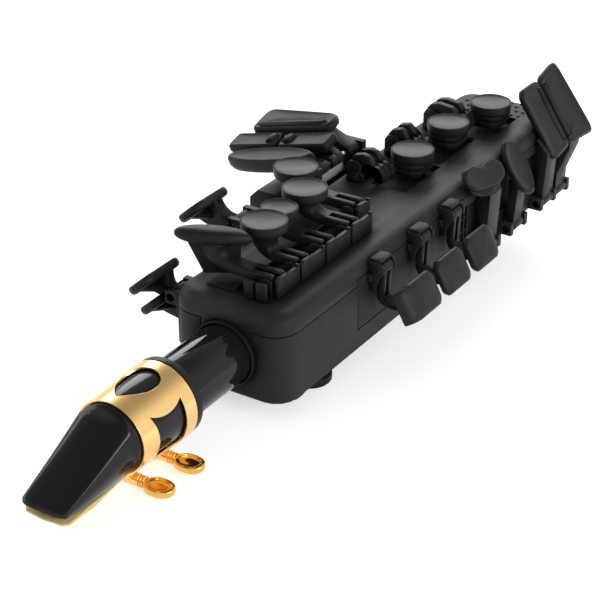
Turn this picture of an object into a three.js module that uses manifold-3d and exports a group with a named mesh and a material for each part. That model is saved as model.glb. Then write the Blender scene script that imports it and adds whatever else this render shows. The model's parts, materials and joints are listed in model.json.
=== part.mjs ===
// Digital wind controller: a box-shaped electronic saxophone with a mouthpiece, reed and ligature.
// Millimetres. x runs from the mouthpiece end of the body to its far end, y to the player's left
// and z up through the pearl keys. The body's front face is at x = 0 and its underside at z = 0
// until the last lines, which put the origin in the middle of the underside.
import * as THREE from "three";
import { mergeVertices } from "three/addons/utils/BufferGeometryUtils.js";
import Module from "manifold-3d";

const wasm = await Module();
wasm.setup();

// Driving sizes of the body
const bodyLength = 197.4;
const bodyWidth = 43.6;
const bodyHeight = 31;
const partingHeight = 24.2;
const boreHeight = 14.3;

// Sizes shared by many pieces
const cornerRadius = 8.2;
const topFillet = 4.5;
const footChamfer = 0.8;
const wallThickness = 2.2;
const roofThickness = 3;
const seamGap = 0.4;
const runningGap = 0.3;
const pinRadius = 1.2;
const pinReach = 1.6;
const pinBoreRadius = pinRadius + runningGap;
const barrelRadius = 2.3;
const cheekThickness = 2.4;
const cutOverrun = 4;
const weldDistance = 0.0001;

const bodySide = bodyWidth / 2;

// Materials, from the photo
const colours = {
  charcoal: 0x3b3c3f,
  shell: 0x414246,
  pearl: 0x6a6b6e,
  ebonite: 0x17181b,
  gold: 0xe8bb62,
  darkGold: 0xc98f2c,
  cane: 0xcdb06a,
  board: 0x1f5a3a,
  metal: 0xa9adb2,
  cell: 0x4a5a78,
};

function paint(colour, roughness, metalness = 0) {
  return new THREE.MeshStandardMaterial({ color: colour, roughness, metalness });
}

const finishes = {
  key: () => paint(colours.charcoal, 0.55),
  shell: () => paint(colours.shell, 0.6),
  pearl: () => paint(colours.pearl, 0.4),
  ebonite: () => paint(colours.ebonite, 0.12),
  plate: () => paint(colours.gold, 0.18, 1),
  screw: () => paint(colours.darkGold, 0.15, 1),
  cane: () => paint(colours.cane, 0.7),
  board: () => paint(colours.board, 0.5),
  metal: () => paint(colours.metal, 0.35, 1),
  cell: () => paint(colours.cell, 0.4),
};

// Solids from three.js geometries
function solidOf(geometry) {
  const bare = geometry.clone();
  bare.deleteAttribute("normal");
  bare.deleteAttribute("uv");
  const merged = mergeVertices(bare, weldDistance);
  return new wasm.Manifold(
    new wasm.Mesh({
      numProp: 3,
      vertProperties: merged.attributes.position.array,
      triVerts: new Uint32Array(merged.index.array),
    }),
  );
}

function geometryOf(solid) {
  const mesh = solid.getMesh();
  const geometry = new THREE.BufferGeometry();
  geometry.setAttribute("position", new THREE.BufferAttribute(mesh.vertProperties, 3));
  geometry.setIndex(new THREE.BufferAttribute(mesh.triVerts, 1));
  const faceted = geometry.toNonIndexed();
  faceted.computeVertexNormals();
  return faceted;
}

function joined(...solids) {
  return solids.reduce((sum, next) => sum.add(next));
}

function without(solid, ...cutters) {
  return cutters.reduce((rest, cutter) => rest.subtract(cutter), solid);
}

// A box between two corners
function block(x0, x1, y0, y1, z0, z1) {
  const geometry = new THREE.BoxGeometry(x1 - x0, y1 - y0, z1 - z0);
  return solidOf(geometry.translate((x0 + x1) / 2, (y0 + y1) / 2, (z0 + z1) / 2));
}

const roundSides = 20;
const smallSides = 10;

// Round bars along each axis, from one end to the other
function barX(radius, x0, x1, y, z, sides = smallSides) {
  const geometry = new THREE.CylinderGeometry(radius, radius, x1 - x0, sides).rotateZ(-Math.PI / 2);
  return solidOf(geometry.translate((x0 + x1) / 2, y, z));
}

function barY(radius, y0, y1, x, z, sides = smallSides) {
  const geometry = new THREE.CylinderGeometry(radius, radius, y1 - y0, sides);
  return solidOf(geometry.translate(x, (y0 + y1) / 2, z));
}

function barZ(radius, z0, z1, x, y, sides = roundSides) {
  const geometry = new THREE.CylinderGeometry(radius, radius, z1 - z0, sides).rotateX(Math.PI / 2);
  return solidOf(geometry.translate(x, y, (z0 + z1) / 2));
}

const curveSteps = 4;

// An outline in the y-z plane, run along x
function profileX(shape, x0, x1) {
  const geometry = new THREE.ExtrudeGeometry(shape, {
    depth: x1 - x0,
    bevelEnabled: false,
    curveSegments: curveSteps,
  });
  const turn = new THREE.Matrix4().makeBasis(
    new THREE.Vector3(0, 1, 0),
    new THREE.Vector3(0, 0, 1),
    new THREE.Vector3(1, 0, 0),
  );
  return solidOf(geometry.applyMatrix4(turn).translate(x0, 0, 0));
}

// An outline in the x-z plane, run along y
function profileY(shape, y0, y1) {
  const geometry = new THREE.ExtrudeGeometry(shape, {
    depth: y1 - y0,
    bevelEnabled: false,
    curveSegments: curveSteps,
  });
  return solidOf(geometry.rotateX(Math.PI / 2).translate(0, y1, 0));
}

// An outline in the x-y plane, run along z
function profileZ(shape, z0, z1) {
  const geometry = new THREE.ExtrudeGeometry(shape, {
    depth: z1 - z0,
    bevelEnabled: false,
    curveSegments: curveSteps,
  });
  return solidOf(geometry.translate(0, 0, z0));
}

function shapeOf(points) {
  return new THREE.Shape(points.map(([a, b]) => new THREE.Vector2(a, b)));
}

// A revolved profile of [radius, place] pairs, standing along z or x
function turnedZ(profile, x, y, sides = roundSides) {
  const points = profile.map(([r, h]) => new THREE.Vector2(r, h));
  const geometry = new THREE.LatheGeometry(points, sides).rotateX(Math.PI / 2);
  return solidOf(geometry.translate(x, y, 0));
}

function turnedX(profile, y, z, sides = roundSides) {
  const points = profile.map(([r, h]) => new THREE.Vector2(r, h));
  const geometry = new THREE.LatheGeometry(points, sides).rotateZ(-Math.PI / 2);
  return solidOf(geometry.translate(0, y, z));
}

// Outlines of equal point count, counter-clockwise
const cornerSteps = 4;

function roundedRectangle(length, width, radius) {
  const points = [];
  const corners = [
    [length / 2 - radius, width / 2 - radius],
    [radius - length / 2, width / 2 - radius],
    [radius - length / 2, radius - width / 2],
    [length / 2 - radius, radius - width / 2],
  ];
  corners.forEach(([cx, cy], quarter) => {
    for (let step = 0; step <= cornerSteps; step++) {
      const angle = ((quarter + step / cornerSteps) * Math.PI) / 2;
      points.push(new THREE.Vector2(cx + radius * Math.cos(angle), cy + radius * Math.sin(angle)));
    }
  });
  return points;
}

// Outline through corners given as [x, y], each rounded off by the same radius
function roundedPolygon(corners, radius) {
  return corners.flatMap(([x, y], i) => {
    const corner = new THREE.Vector2(x, y);
    const toward = (j) => {
      const other = new THREE.Vector2(...corners[(j + corners.length) % corners.length]);
      return corner.clone().add(other.sub(corner).setLength(radius));
    };
    const curve = new THREE.QuadraticBezierCurve(toward(i - 1), corner, toward(i + 1));
    return curve.getPoints(cornerSteps);
  });
}

function ovalOutline(length, width, sides = roundSides) {
  return Array.from({ length: sides }, (_, i) => {
    const angle = (2 * Math.PI * i) / sides;
    return new THREE.Vector2((length / 2) * Math.cos(angle), (width / 2) * Math.sin(angle));
  });
}

// A closed solid through rings of points; the rings rise in the direction that their outlines turn about
function loft(rings) {
  const count = rings[0].length;
  const positions = [];
  const faces = [];
  rings.forEach((ring) => ring.forEach((p) => positions.push(p.x, p.y, p.z)));
  for (let level = 0; level + 1 < rings.length; level++) {
    for (let i = 0; i < count; i++) {
      const next = (i + 1) % count;
      const a = level * count + i;
      const b = level * count + next;
      faces.push(a, b, b + count, a, b + count, a + count);
    }
  }
  const capOf = (ring, offset, flip) => {
    const middle = ring.reduce((sum, p) => sum.add(p), new THREE.Vector3()).divideScalar(count);
    const centre = positions.length / 3;
    positions.push(middle.x, middle.y, middle.z);
    for (let i = 0; i < count; i++) {
      const next = (i + 1) % count;
      faces.push(centre, offset + (flip ? next : i), offset + (flip ? i : next));
    }
  };
  capOf(rings[0], 0, true);
  capOf(rings[rings.length - 1], (rings.length - 1) * count, false);
  const geometry = new THREE.BufferGeometry();
  geometry.setAttribute("position", new THREE.Float32BufferAttribute(positions, 3));
  geometry.setIndex(faces);
  return geometry;
}

function ringAt(outline, scale, z) {
  return outline.map((p) => new THREE.Vector3(p.x * scale, p.y * scale, z));
}

// A finger plate with a rounded rim and a shallow dish, facing +z, its rim at z = 0
const plateRimShare = 0.93;
const plateEdgeShares = { low: 0.7, high: 0.2 };
const plateDishShares = { edge: 0.86, middle: 0.45, edgeDepth: 0.4 };

function dishedPlate(outline, thickness, dish) {
  return loft([
    ringAt(outline, plateRimShare, -thickness),
    ringAt(outline, 1, -thickness * plateEdgeShares.low),
    ringAt(outline, 1, -thickness * plateEdgeShares.high),
    ringAt(outline, plateRimShare, 0),
    ringAt(outline, plateDishShares.edge, -dish * plateDishShares.edgeDepth),
    ringAt(outline, plateDishShares.middle, -dish),
  ]);
}

// A finger plate leaning about x by an angle, at a place
function leaning(geometry, angle, x, y, z) {
  return solidOf(geometry.rotateX(angle).translate(x, y, z));
}

// The scene
const controller = new THREE.Group();
controller.name = "digital_wind_controller";
const placed = new THREE.Group();
controller.add(placed);

function addFixed(name, solid, material, parent = placed, origin = new THREE.Vector3()) {
  const geometry = geometryOf(solid).translate(-origin.x, -origin.y, -origin.z);
  const mesh = new THREE.Mesh(geometry, material);
  mesh.name = name;
  parent.add(mesh);
  return mesh;
}

// A piece that turns about a pivot: its group stands on the pivot, in its parent's frame
function pivotGroup(x, y, z, parent = placed, parentPivot = new THREE.Vector3()) {
  const group = new THREE.Group();
  group.position.set(x - parentPivot.x, y - parentPivot.y, z - parentPivot.z);
  parent.add(group);
  return { group, pivot: new THREE.Vector3(x, y, z) };
}

function addHinged(name, solid, material, hinge) {
  return addFixed(name, solid, material, hinge.group, hinge.pivot);
}

// Body shells
function bodyLoft(inset, bottom, roof, fillet, chamfer) {
  const ring = (extra, z) =>
    roundedRectangle(
      bodyLength - 2 * (inset + extra),
      bodyWidth - 2 * (inset + extra),
      cornerRadius - inset - extra,
    ).map((p) => new THREE.Vector3(p.x + bodyLength / 2, p.y, z));
  const rings = [ring(chamfer, bottom), ring(0, bottom + chamfer)];
  for (let step = 0; step <= cornerSteps; step++) {
    const angle = (step / cornerSteps) * (Math.PI / 2);
    rings.push(ring(fillet * (1 - Math.cos(angle)), roof - fillet * (1 - Math.sin(angle))));
  }
  return solidOf(loft(rings));
}

const outerBody = bodyLoft(0, 0, bodyHeight, topFillet, footChamfer);
const innerBody = bodyLoft(
  wallThickness,
  wallThickness,
  bodyHeight - roofThickness,
  topFillet - wallThickness,
  footChamfer,
);
const shellStock = without(outerBody, innerBody);

// Socket for the mouthpiece, and the tongue of the upper shell over it
const collarRadius = 11.2;
const collarFront = -1.6;
const collarLength = 6.8;
const socketRadius = collarRadius + runningGap;
const tongueHalfWidth = 9;

const socketHole = barX(socketRadius, -cutOverrun, wallThickness + cutOverrun, 0, boreHeight, roundSides);

// Keys of the left hand: shares of the body's length and of its half width, and heights over the roof
const leftArmWidth = 4.6;
const leftPivotHeight = 5.3;
const leftWallHeight = 7.2;
const leftSillHeight = 6.4;
const leftBaseHeight = 1.6;
const leftWallThickness = 2;
const leftWallLead = 3.6;
const leftTabLength = 5.4;
const leftHeel = 2;
const leftArmThickness = 3.4;
const pearlRadius = 7.65;
const bisPearlRadius = 6.25;
const cupHeight = 3.6;
const leftRowShare = -0.37;
const bPearlRise = 17;
const bisPearlRise = 14.8;
const aPearlRise = 15.9;
const gPearlRise = 15.4;

const leftKeys = [
  {
    name: "b",
    xShare: 0.1445,
    yShare: leftRowShare,
    pearlXShare: 0.1412,
    pearlYShare: 0.165,
    rise: bPearlRise,
    radius: pearlRadius,
  },
  {
    name: "bis",
    xShare: 0.22,
    yShare: leftRowShare,
    pearlXShare: 0.213,
    pearlYShare: 0.335,
    rise: bisPearlRise,
    radius: bisPearlRadius,
  },
  {
    name: "a",
    xShare: 0.2994,
    yShare: leftRowShare,
    pearlXShare: 0.2895,
    pearlYShare: 0.33,
    rise: aPearlRise,
    radius: pearlRadius,
  },
  {
    name: "g",
    xShare: 0.3673,
    yShare: -0.1,
    pearlXShare: 0.3565,
    pearlYShare: 0.885,
    rise: gPearlRise,
    radius: pearlRadius,
  },
];
const frontTouchRise = 18;
const frontKey = { name: "front_f", xShare: 0.0745, yShare: leftRowShare, rise: frontTouchRise };

const roof = bodyHeight + runningGap;

function leftPlace(key) {
  return {
    x: key.xShare * bodyLength,
    y: key.yShare * bodySide,
    z: bodyHeight + leftPivotHeight,
  };
}

// Cup of a pearl key, and the pearl that lies in it
const cupWall = 0.75;
const pearlThickness = 1.2;
const pearlDish = 0.6;
const cupTaper = 0.5;
const pearlFlatShare = 0.6;
const pearlFlatDepthShare = 0.7;

function pearlCup(x, y, top, radius) {
  const bottom = top - cupHeight;
  const seat = top - pearlThickness - runningGap;
  const inner = radius - cupWall;
  return turnedZ(
    [
      [0, bottom],
      [radius - cupTaper, bottom],
      [radius, bottom + cupTaper],
      [radius, top - cupTaper / 2],
      [radius - cupTaper / 2, top],
      [inner, top],
      [inner, seat],
      [0, seat],
    ],
    x,
    y,
  );
}

function pearlDisc(x, y, top, radius) {
  const outer = radius - cupWall - runningGap;
  const bottom = top - pearlThickness;
  return turnedZ(
    [
      [0, bottom],
      [outer, bottom],
      [outer, top],
      [outer * pearlFlatShare, top - pearlDish * pearlFlatDepthShare],
      [0, top - pearlDish],
    ],
    x,
    y,
  );
}

// Arm of a left-hand key, rising from its pivot to the cup
const slotLength = 7.4;
const slotWidth = 1.6;
const slotDepth = 1.4;
const armRiseShare = 0.28;
const armFlareShare = 0.62;

// Plan of a left-hand arm: narrow at the pivot, as wide as its cup's foot at the far end
function armPlan(place, endX, endY, flare, top) {
  const half = leftArmWidth / 2;
  const heel = place.y - leftHeel - cutOverrun;
  const bend = place.y + slotLength - leftHeel;
  const far = endY + leftArmThickness + cutOverrun;
  const outline = shapeOf([
    [place.x - half, heel],
    [place.x + half, heel],
    [place.x + half, bend],
    [endX + flare, endY - leftArmThickness],
    [endX + flare, far],
    [endX - flare, far],
    [endX - flare, endY - leftArmThickness],
    [place.x - half, bend],
  ]);
  return profileZ(outline, roof, top + cutOverrun);
}

function leftPivotBar(place) {
  const half = leftArmWidth / 2;
  const reach = half + pinReach;
  return joined(
    barX(barrelRadius, place.x - half, place.x + half, place.y, place.z),
    barX(pinRadius, place.x - reach, place.x + reach, place.y, place.z),
  );
}

function leftArm(place, endX, endY, endZ, flare) {
  const heel = place.y - leftHeel;
  const rear = place.z + leftArmThickness / 2;
  const bend = place.y + slotLength - leftHeel;
  const bendTop = rear + (bend - heel) * armRiseShare;
  const underBend = bendTop - leftArmThickness;
  const shape = new THREE.Shape();
  shape.moveTo(heel, rear - leftArmThickness);
  shape.lineTo(bend + leftArmThickness, underBend);
  shape.quadraticCurveTo(endY, underBend, endY + leftArmThickness, endZ);
  shape.lineTo(endY - leftArmThickness, endZ);
  shape.quadraticCurveTo(bend + leftArmThickness, bendTop, bend, bendTop);
  shape.lineTo(heel, rear);
  const wide = profileX(shape, place.x - 2 * flare, place.x + 2 * flare);
  const slot = block(
    place.x - slotWidth / 2,
    place.x + slotWidth / 2,
    heel + slotWidth / 2,
    heel + slotWidth / 2 + slotLength,
    rear - slotDepth,
    bendTop + cutOverrun,
  );
  const arm = wide.intersect(armPlan(place, endX, endY, flare, Math.max(endZ, bendTop)));
  return joined(without(arm, slot), leftPivotBar(place));
}

function addLeftKeys() {
  leftKeys.forEach((key) => {
    const place = leftPlace(key);
    const x = key.pearlXShare * bodyLength;
    const y = key.pearlYShare * bodySide;
    const top = bodyHeight + key.rise;
    const hinge = pivotGroup(place.x, place.y, place.z);
    const body = joined(
      leftArm(place, x, y, top - cupHeight + cupTaper, key.radius * armFlareShare),
      pearlCup(x, y, top, key.radius),
    );
    addHinged(key.name + "_key", body, finishes.key(), hinge);
    addHinged("pearl_" + key.name, pearlDisc(x, y, top, key.radius), finishes.pearl(), hinge);
  });
}

// Front F key: a long oval touch on a flared stem
const frontTouchLength = 24.6;
const frontTouchWidth = 8.2;
const frontTouchThickness = 5.4;
const frontTouchAhead = 15.04;
const frontTouchYShare = 0.585;
const frontTouchTurn = THREE.MathUtils.degToRad(-58);
const frontTouchTilt = THREE.MathUtils.degToRad(5);
const frontArmFlare = 4.6;
const frontStemThickness = 4.6;
const frontStemFoot = 6;
const frontArmBottom = 2.6;
const frontStemShares = { far: 0.3, near: 0.36 };
const pebbleShares = [0.72, 0.95, 1, 0.94, 0.7];

function addFrontKey() {
  const place = leftPlace(frontKey);
  const x = leftKeys[0].pearlXShare * bodyLength - frontTouchAhead;
  const y = frontTouchYShare * bodySide;
  const top = bodyHeight + frontKey.rise;
  const outline = ovalOutline(frontTouchLength, frontTouchWidth);
  const rings = pebbleShares.map((share, i) =>
    ringAt(outline, share, (i / (pebbleShares.length - 1) - 1) * frontTouchThickness),
  );
  const touch = loft(rings).rotateY(frontTouchTilt).rotateZ(frontTouchTurn).translate(x, y, top);
  const armTop = place.z + leftArmThickness / 2;
  const armBottom = bodyHeight + frontArmBottom;
  const stemTop = top - frontTouchThickness / 2;
  const stemShape = shapeOf([
    [-frontStemFoot / 2, armBottom],
    [frontStemFoot / 2, armBottom],
    [frontTouchLength * frontStemShares.far, stemTop],
    [-frontTouchLength * frontStemShares.near, stemTop],
  ]);
  const stem = profileY(stemShape, -frontStemThickness / 2, frontStemThickness / 2)
    .rotate([0, 0, THREE.MathUtils.radToDeg(frontTouchTurn)])
    .translate([x, y, 0]);
  const heel = place.y - leftHeel;
  const armShape = shapeOf([
    [heel, place.z - leftArmThickness / 2],
    [place.y + slotLength, armBottom + leftArmThickness / 4],
    [y, armBottom],
    [y + frontStemThickness / 2, armBottom],
    [y + frontStemThickness / 2, armTop],
    [place.y + slotLength, armTop + leftArmThickness / 2],
    [heel, armTop],
  ]);
  const slot = block(
    place.x - slotWidth / 2,
    place.x + slotWidth / 2,
    heel + slotWidth,
    heel + slotWidth + slotLength,
    armTop - slotDepth,
    armTop + cutOverrun,
  );
  const wide = profileX(armShape, place.x - 2 * frontArmFlare, place.x + 2 * frontArmFlare);
  const arm = wide.intersect(armPlan(place, x, y, frontArmFlare, top));
  const key = joined(without(arm, slot), stem, solidOf(touch), leftPivotBar(place));
  addHinged("front_f_key", key, finishes.key(), pivotGroup(place.x, place.y, place.z));
}

// Rail of the left-hand keys: a base strip with a cradle for each key and stepped outer walls
const cradleInnerShare = 0.09;
const noseLength = 2.6;
const noseHeight = 6;
const noseSlotWidth = 1;

function addLeftRail() {
  const all = [frontKey, ...leftKeys].map(leftPlace);
  const outsideOf = (place) => place.y - leftHeel - runningGap - leftWallThickness;
  const cradles = all.map((place) => {
    const inner = leftArmWidth / 2 + runningGap;
    const outer = inner + cheekThickness;
    const outside = outsideOf(place);
    const inside = place.y + barrelRadius + cheekThickness;
    const cheekTop = place.z + barrelRadius;
    const cradle = joined(
      block(place.x - outer, place.x + outer, outside, inside, roof, roof + leftBaseHeight),
      block(place.x - outer, place.x - inner, outside, inside, roof, cheekTop),
      block(place.x + inner, place.x + outer, outside, inside, roof, cheekTop),
    );
    const reach = outer + cutOverrun;
    return without(cradle, barX(pinBoreRadius, place.x - reach, place.x + reach, place.y, place.z));
  });
  const walls = all.map((place, i) => {
    const outside = outsideOf(place);
    const next = all[i + 1];
    const inLine = next !== undefined && next.y === place.y;
    const start = place.x - leftWallLead;
    const end = inLine ? next.x - leftWallLead - seamGap : place.x + leftWallLead;
    const inside = outside + leftWallThickness;
    return joined(
      block(start, end, outside, inside, roof, bodyHeight + leftSillHeight),
      block(start, start + leftTabLength, outside, inside, roof, bodyHeight + leftWallHeight),
    );
  });
  const first = all[0];
  const last = all[all.length - 1];
  const rowEnd = all[all.length - 2];
  const strip = (x0, x1, outside) =>
    block(x0, x1, outside, cradleInnerShare * bodySide, roof, roof + leftBaseHeight);
  const strips = joined(
    strip(first.x - leftWallLead, rowEnd.x + leftWallLead, outsideOf(first)),
    strip(rowEnd.x, last.x + leftWallLead, outsideOf(last)),
  );
  const noseEnd = first.x - leftArmWidth / 2 - runningGap - cheekThickness;
  const noseOutside = outsideOf(first) + leftWallThickness;
  const noseInside = first.y + barrelRadius + cheekThickness;
  const noseMiddle = (noseOutside + noseInside) / 2;
  const nose = without(
    block(noseEnd - noseLength, noseEnd + runningGap, noseOutside, noseInside, roof, roof + noseHeight),
    block(
      noseEnd - noseLength - cutOverrun,
      noseEnd - noseLength / 2,
      noseMiddle - noseSlotWidth / 2,
      noseMiddle + noseSlotWidth / 2,
      roof - cutOverrun,
      roof + noseHeight + cutOverrun,
    ),
  );
  addFixed("left_hand_rail", joined(strips, nose, ...cradles, ...walls), finishes.key());
}

// Keys of the right hand: a square block under each pearl, in a pocket of the roof, and an arched arm
const rightKeys = [
  { name: "f", armXShare: 0.529, xShare: 0.5945, reachShare: 0.61 },
  { name: "e", armXShare: 0.662, xShare: 0.7385, reachShare: 0.555 },
  { name: "d", armXShare: 0.807, xShare: 0.866, reachShare: 0.755 },
];
const rightPivotInset = 8.07;
const rightPivotHeight = 5.4;
const rightPearlRise = 8.6;
const rightArmWidth = 8;
const rightArchRise = 10.2;
const rightBlockLength = 15;
const rightBlockWidth = 12;
const rightBlockRise = 0.6;
const rightArmFloor = 1.2;
const pocketDepth = 1.8;
const pocketMargin = 1;
const clipReach = 3;
const archThickness = 3;

function rightPlace(key) {
  return {
    armX: key.armXShare * bodyLength,
    pivotY: bodySide - rightPivotInset,
    pivotZ: bodyHeight + rightPivotHeight,
    x: key.xShare * bodyLength,
    y: bodySide - rightPivotInset - key.reachShare * bodySide,
    top: bodyHeight + rightPearlRise,
  };
}

function rightArm(place) {
  const crown = bodyHeight + rightArchRise;
  const blockTop = place.top - cupHeight;
  const blockEdge = place.y + rightBlockWidth / 2;
  const rear = place.pivotY + barrelRadius;
  const shape = new THREE.Shape();
  shape.moveTo(rear, place.pivotZ);
  shape.quadraticCurveTo(rear, crown, place.pivotY - archThickness / 2, crown);
  shape.lineTo(blockEdge + archThickness, crown - archThickness / 4);
  const innerFoot = blockEdge - archThickness;
  shape.quadraticCurveTo(blockEdge - archThickness / 2, crown - archThickness, innerFoot, blockTop);
  shape.lineTo(blockEdge - archThickness, bodyHeight + rightArmFloor);
  shape.lineTo(blockEdge + archThickness / 3, bodyHeight + rightArmFloor);
  shape.quadraticCurveTo(
    blockEdge + archThickness / 3,
    crown - archThickness,
    place.pivotY - barrelRadius,
    place.pivotZ,
  );
  const half = rightArmWidth / 2;
  return joined(
    profileX(shape, place.armX - half, place.armX + half),
    barX(barrelRadius, place.armX - half, place.armX + half, place.pivotY, place.pivotZ),
    barX(pinRadius, place.armX - half - pinReach, place.armX + half + pinReach, place.pivotY, place.pivotZ),
  );
}

function addRightKeys() {
  rightKeys.forEach((key) => {
    const place = rightPlace(key);
    const hinge = pivotGroup(place.armX, place.pivotY, place.pivotZ);
    const blockBottom = bodyHeight + rightBlockRise;
    const blockTop = place.top - cupHeight + cupTaper;
    const foot = block(
      place.armX,
      place.x + rightBlockLength / 2,
      place.y - rightBlockWidth / 2,
      place.y + rightBlockWidth / 2,
      blockBottom,
      blockTop,
    );
    const near = block(
      place.armX - cutOverrun,
      place.x - rightBlockLength / 2,
      place.y - rightBlockWidth,
      place.y + rightBlockWidth / 2 - archThickness,
      blockBottom - cutOverrun,
      blockTop + cutOverrun,
    );
    const body = joined(
      without(foot, near),
      rightArm(place),
      pearlCup(place.x, place.y, place.top, pearlRadius),
    );
    addHinged(key.name + "_key", body, finishes.key(), hinge);
    const disc = pearlDisc(place.x, place.y, place.top, pearlRadius);
    addHinged("pearl_" + key.name, disc, finishes.pearl(), hinge);
    const inner = rightArmWidth / 2 + runningGap;
    const outer = inner + cheekThickness;
    const cheekTop = place.pivotZ + barrelRadius;
    const clipSpan = [place.pivotY - clipReach, place.pivotY + clipReach];
    const clip = joined(
      block(place.armX - outer, place.armX + outer, ...clipSpan, roof, roof + leftBaseHeight),
      block(place.armX - outer, place.armX - inner, ...clipSpan, roof, cheekTop),
      block(place.armX + inner, place.armX + outer, ...clipSpan, roof, cheekTop),
    );
    const bore = barX(
      pinBoreRadius,
      place.armX - outer - cutOverrun,
      place.armX + outer + cutOverrun,
      place.pivotY,
      place.pivotZ,
    );
    addFixed("hinge_clip_" + key.name, without(clip, bore), finishes.key());
  });
}

function rightPockets() {
  return rightKeys.map((key) => {
    const place = rightPlace(key);
    return block(
      place.armX - rightArmWidth / 2 - runningGap,
      place.x + rightBlockLength / 2 + pocketMargin,
      place.y - rightBlockWidth / 2 - pocketMargin,
      place.y + rightBlockWidth / 2 + pocketMargin,
      bodyHeight - pocketDepth,
      bodyHeight + cutOverrun,
    );
  });
}

// Speaker grille in the roof, round the last pearl
const speakerXShare = 0.93;
const speakerYShare = 0.13;
const grilleInnerRadius = 9.4;
const grilleOuterRadius = 12.2;
const grilleRings = [
  { radius: grilleInnerRadius, holes: 14 },
  { radius: grilleOuterRadius, holes: 18 },
];
const grilleHoleRadius = 0.8;
const grilleHoleSides = 6;

function grilleHoles() {
  return grilleRings.flatMap(({ radius, holes }) =>
    Array.from({ length: holes }, (_, i) => {
      const angle = (2 * Math.PI * i) / holes;
      return barZ(
        grilleHoleRadius,
        bodyHeight - roofThickness - cutOverrun,
        bodyHeight + cutOverrun,
        speakerXShare * bodyLength + radius * Math.cos(angle),
        speakerYShare * bodySide + radius * Math.sin(angle),
        grilleHoleSides,
      );
    }),
  );
}

// Side panel in the right wall
const panelStartShare = 0.2225;
const panelEndShare = 0.94;
const panelBottom = 8;
const panelTop = 26.4;

const panelX0 = panelStartShare * bodyLength;
const panelX1 = panelEndShare * bodyLength;

const panelOpening = block(
  panelX0 - runningGap,
  panelX1 + runningGap,
  -bodySide - cutOverrun,
  -bodySide + wallThickness + cutOverrun / 2,
  panelBottom - runningGap,
  panelTop + runningGap,
);

// USB socket in the end wall
const usbWidth = 9;
const usbHeight = 3.6;
const usbDepth = 7.4;
const usbLift = 12;
const usbWall = 0.6;

const usbOpening = block(
  bodyLength - wallThickness - cutOverrun,
  bodyLength + cutOverrun,
  -usbWidth / 2 - runningGap,
  usbWidth / 2 + runningGap,
  usbLift - runningGap,
  usbLift + usbHeight + runningGap,
);

// Posts in the lower shell that carry the circuit board
const postRadius = 2.6;
const boardLift = 14;
const boardThickness = 1.6;
const boardStartShare = 0.2;
const boardMargin = 3.4;
const postXShares = [0.23, 0.86];

function boardPosts() {
  const y = bodySide - wallThickness - boardMargin - postRadius;
  return postXShares.flatMap((share) =>
    [-y, y].map((side) =>
      barZ(postRadius, wallThickness / 2, boardLift - runningGap, share * bodyLength, side, smallSides),
    ),
  );
}

// Hinge lugs of the long levers, low on the right wall, and of the octave key, under the floor
const leverPivotLift = 3.6;
const leverPivotOut = 3.2;
const leverWidth = 8.4;
const leverPinReach = 1.1;
const lugLength = 2.2;
const levers = [
  { name: "high_f_sharp_key", xShare: 0.651 },
  { name: "alternate_f_sharp_key", xShare: 0.759 },
  { name: "low_e_flat_key", xShare: 0.885 },
];
const octavePivotXShare = 0.1;
const octavePivotYShare = 0.36;
const octaveDrop = 3.6;
const octaveArmWidth = 7;

function lugPair(x, y, z, width, y0, y1, z0, z1) {
  const inner = width / 2 + runningGap;
  const outer = inner + lugLength;
  const pair = joined(
    block(x - outer, x - inner, y0, y1, z0, z1),
    block(x + inner, x + outer, y0, y1, z0, z1),
  );
  return { pair, bore: barX(pinBoreRadius, x - outer - cutOverrun, x + outer + cutOverrun, y, z) };
}

function leverPlace(lever) {
  return { x: lever.xShare * bodyLength, y: -bodySide - leverPivotOut, z: leverPivotLift };
}

// The low C lever stands beside the low E flat lever, in a lug pair of its own
const lowCSpacing = leverWidth + lugLength + 2 * runningGap;

function leverLugs() {
  const places = levers.map(leverPlace);
  const lowEFlat = places[places.length - 1];
  places.push({ ...lowEFlat, x: lowEFlat.x + lowCSpacing });
  return places.map((place) =>
    lugPair(
      place.x,
      place.y,
      place.z,
      leverWidth,
      place.y - barrelRadius,
      -bodySide + cornerRadius / 2,
      place.z - barrelRadius,
      place.z + barrelRadius,
    ),
  );
}

function octaveLugs() {
  const x = octavePivotXShare * bodyLength;
  const y = octavePivotYShare * bodySide;
  const foot = -octaveDrop - barrelRadius;
  const span = [y - barrelRadius, y + barrelRadius];
  return lugPair(x, y, -octaveDrop, octaveArmWidth, ...span, foot, wallThickness / 2);
}

function addShells(strokes) {
  const span = bodyLength + 2 * cutOverrun;
  const above = block(
    -cutOverrun,
    span,
    -bodyWidth,
    bodyWidth,
    partingHeight + seamGap / 2,
    bodyHeight + cutOverrun,
  );
  const tongue = block(
    -cutOverrun,
    wallThickness + cutOverrun / 2,
    -tongueHalfWidth,
    tongueHalfWidth,
    boreHeight + collarRadius / 2,
    partingHeight + cutOverrun,
  );
  const tongueGap = block(
    -cutOverrun,
    wallThickness + cutOverrun / 2,
    -tongueHalfWidth - seamGap,
    tongueHalfWidth + seamGap,
    boreHeight + collarRadius / 2 - seamGap,
    partingHeight + cutOverrun,
  );
  const below = block(-cutOverrun, span, -bodyWidth, bodyWidth, -cutOverrun, partingHeight - seamGap / 2);
  const upper = shellStock.intersect(joined(above, tongue));
  const roofCuts = [...rightPockets(), ...grilleHoles(), ...strokes];
  const topShell = without(upper, socketHole, panelOpening, ...roofCuts);
  addFixed("top_shell", topShell, finishes.shell());
  const lugs = [...leverLugs(), octaveLugs()];
  const lower = without(shellStock.intersect(below), tongueGap, socketHole, panelOpening, usbOpening);
  const bottomShell = without(
    joined(lower, ...boardPosts(), ...lugs.map((lug) => lug.pair)),
    ...lugs.map((lug) => lug.bore),
  );
  addFixed("bottom_shell", bottomShell, finishes.shell());
}

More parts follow.
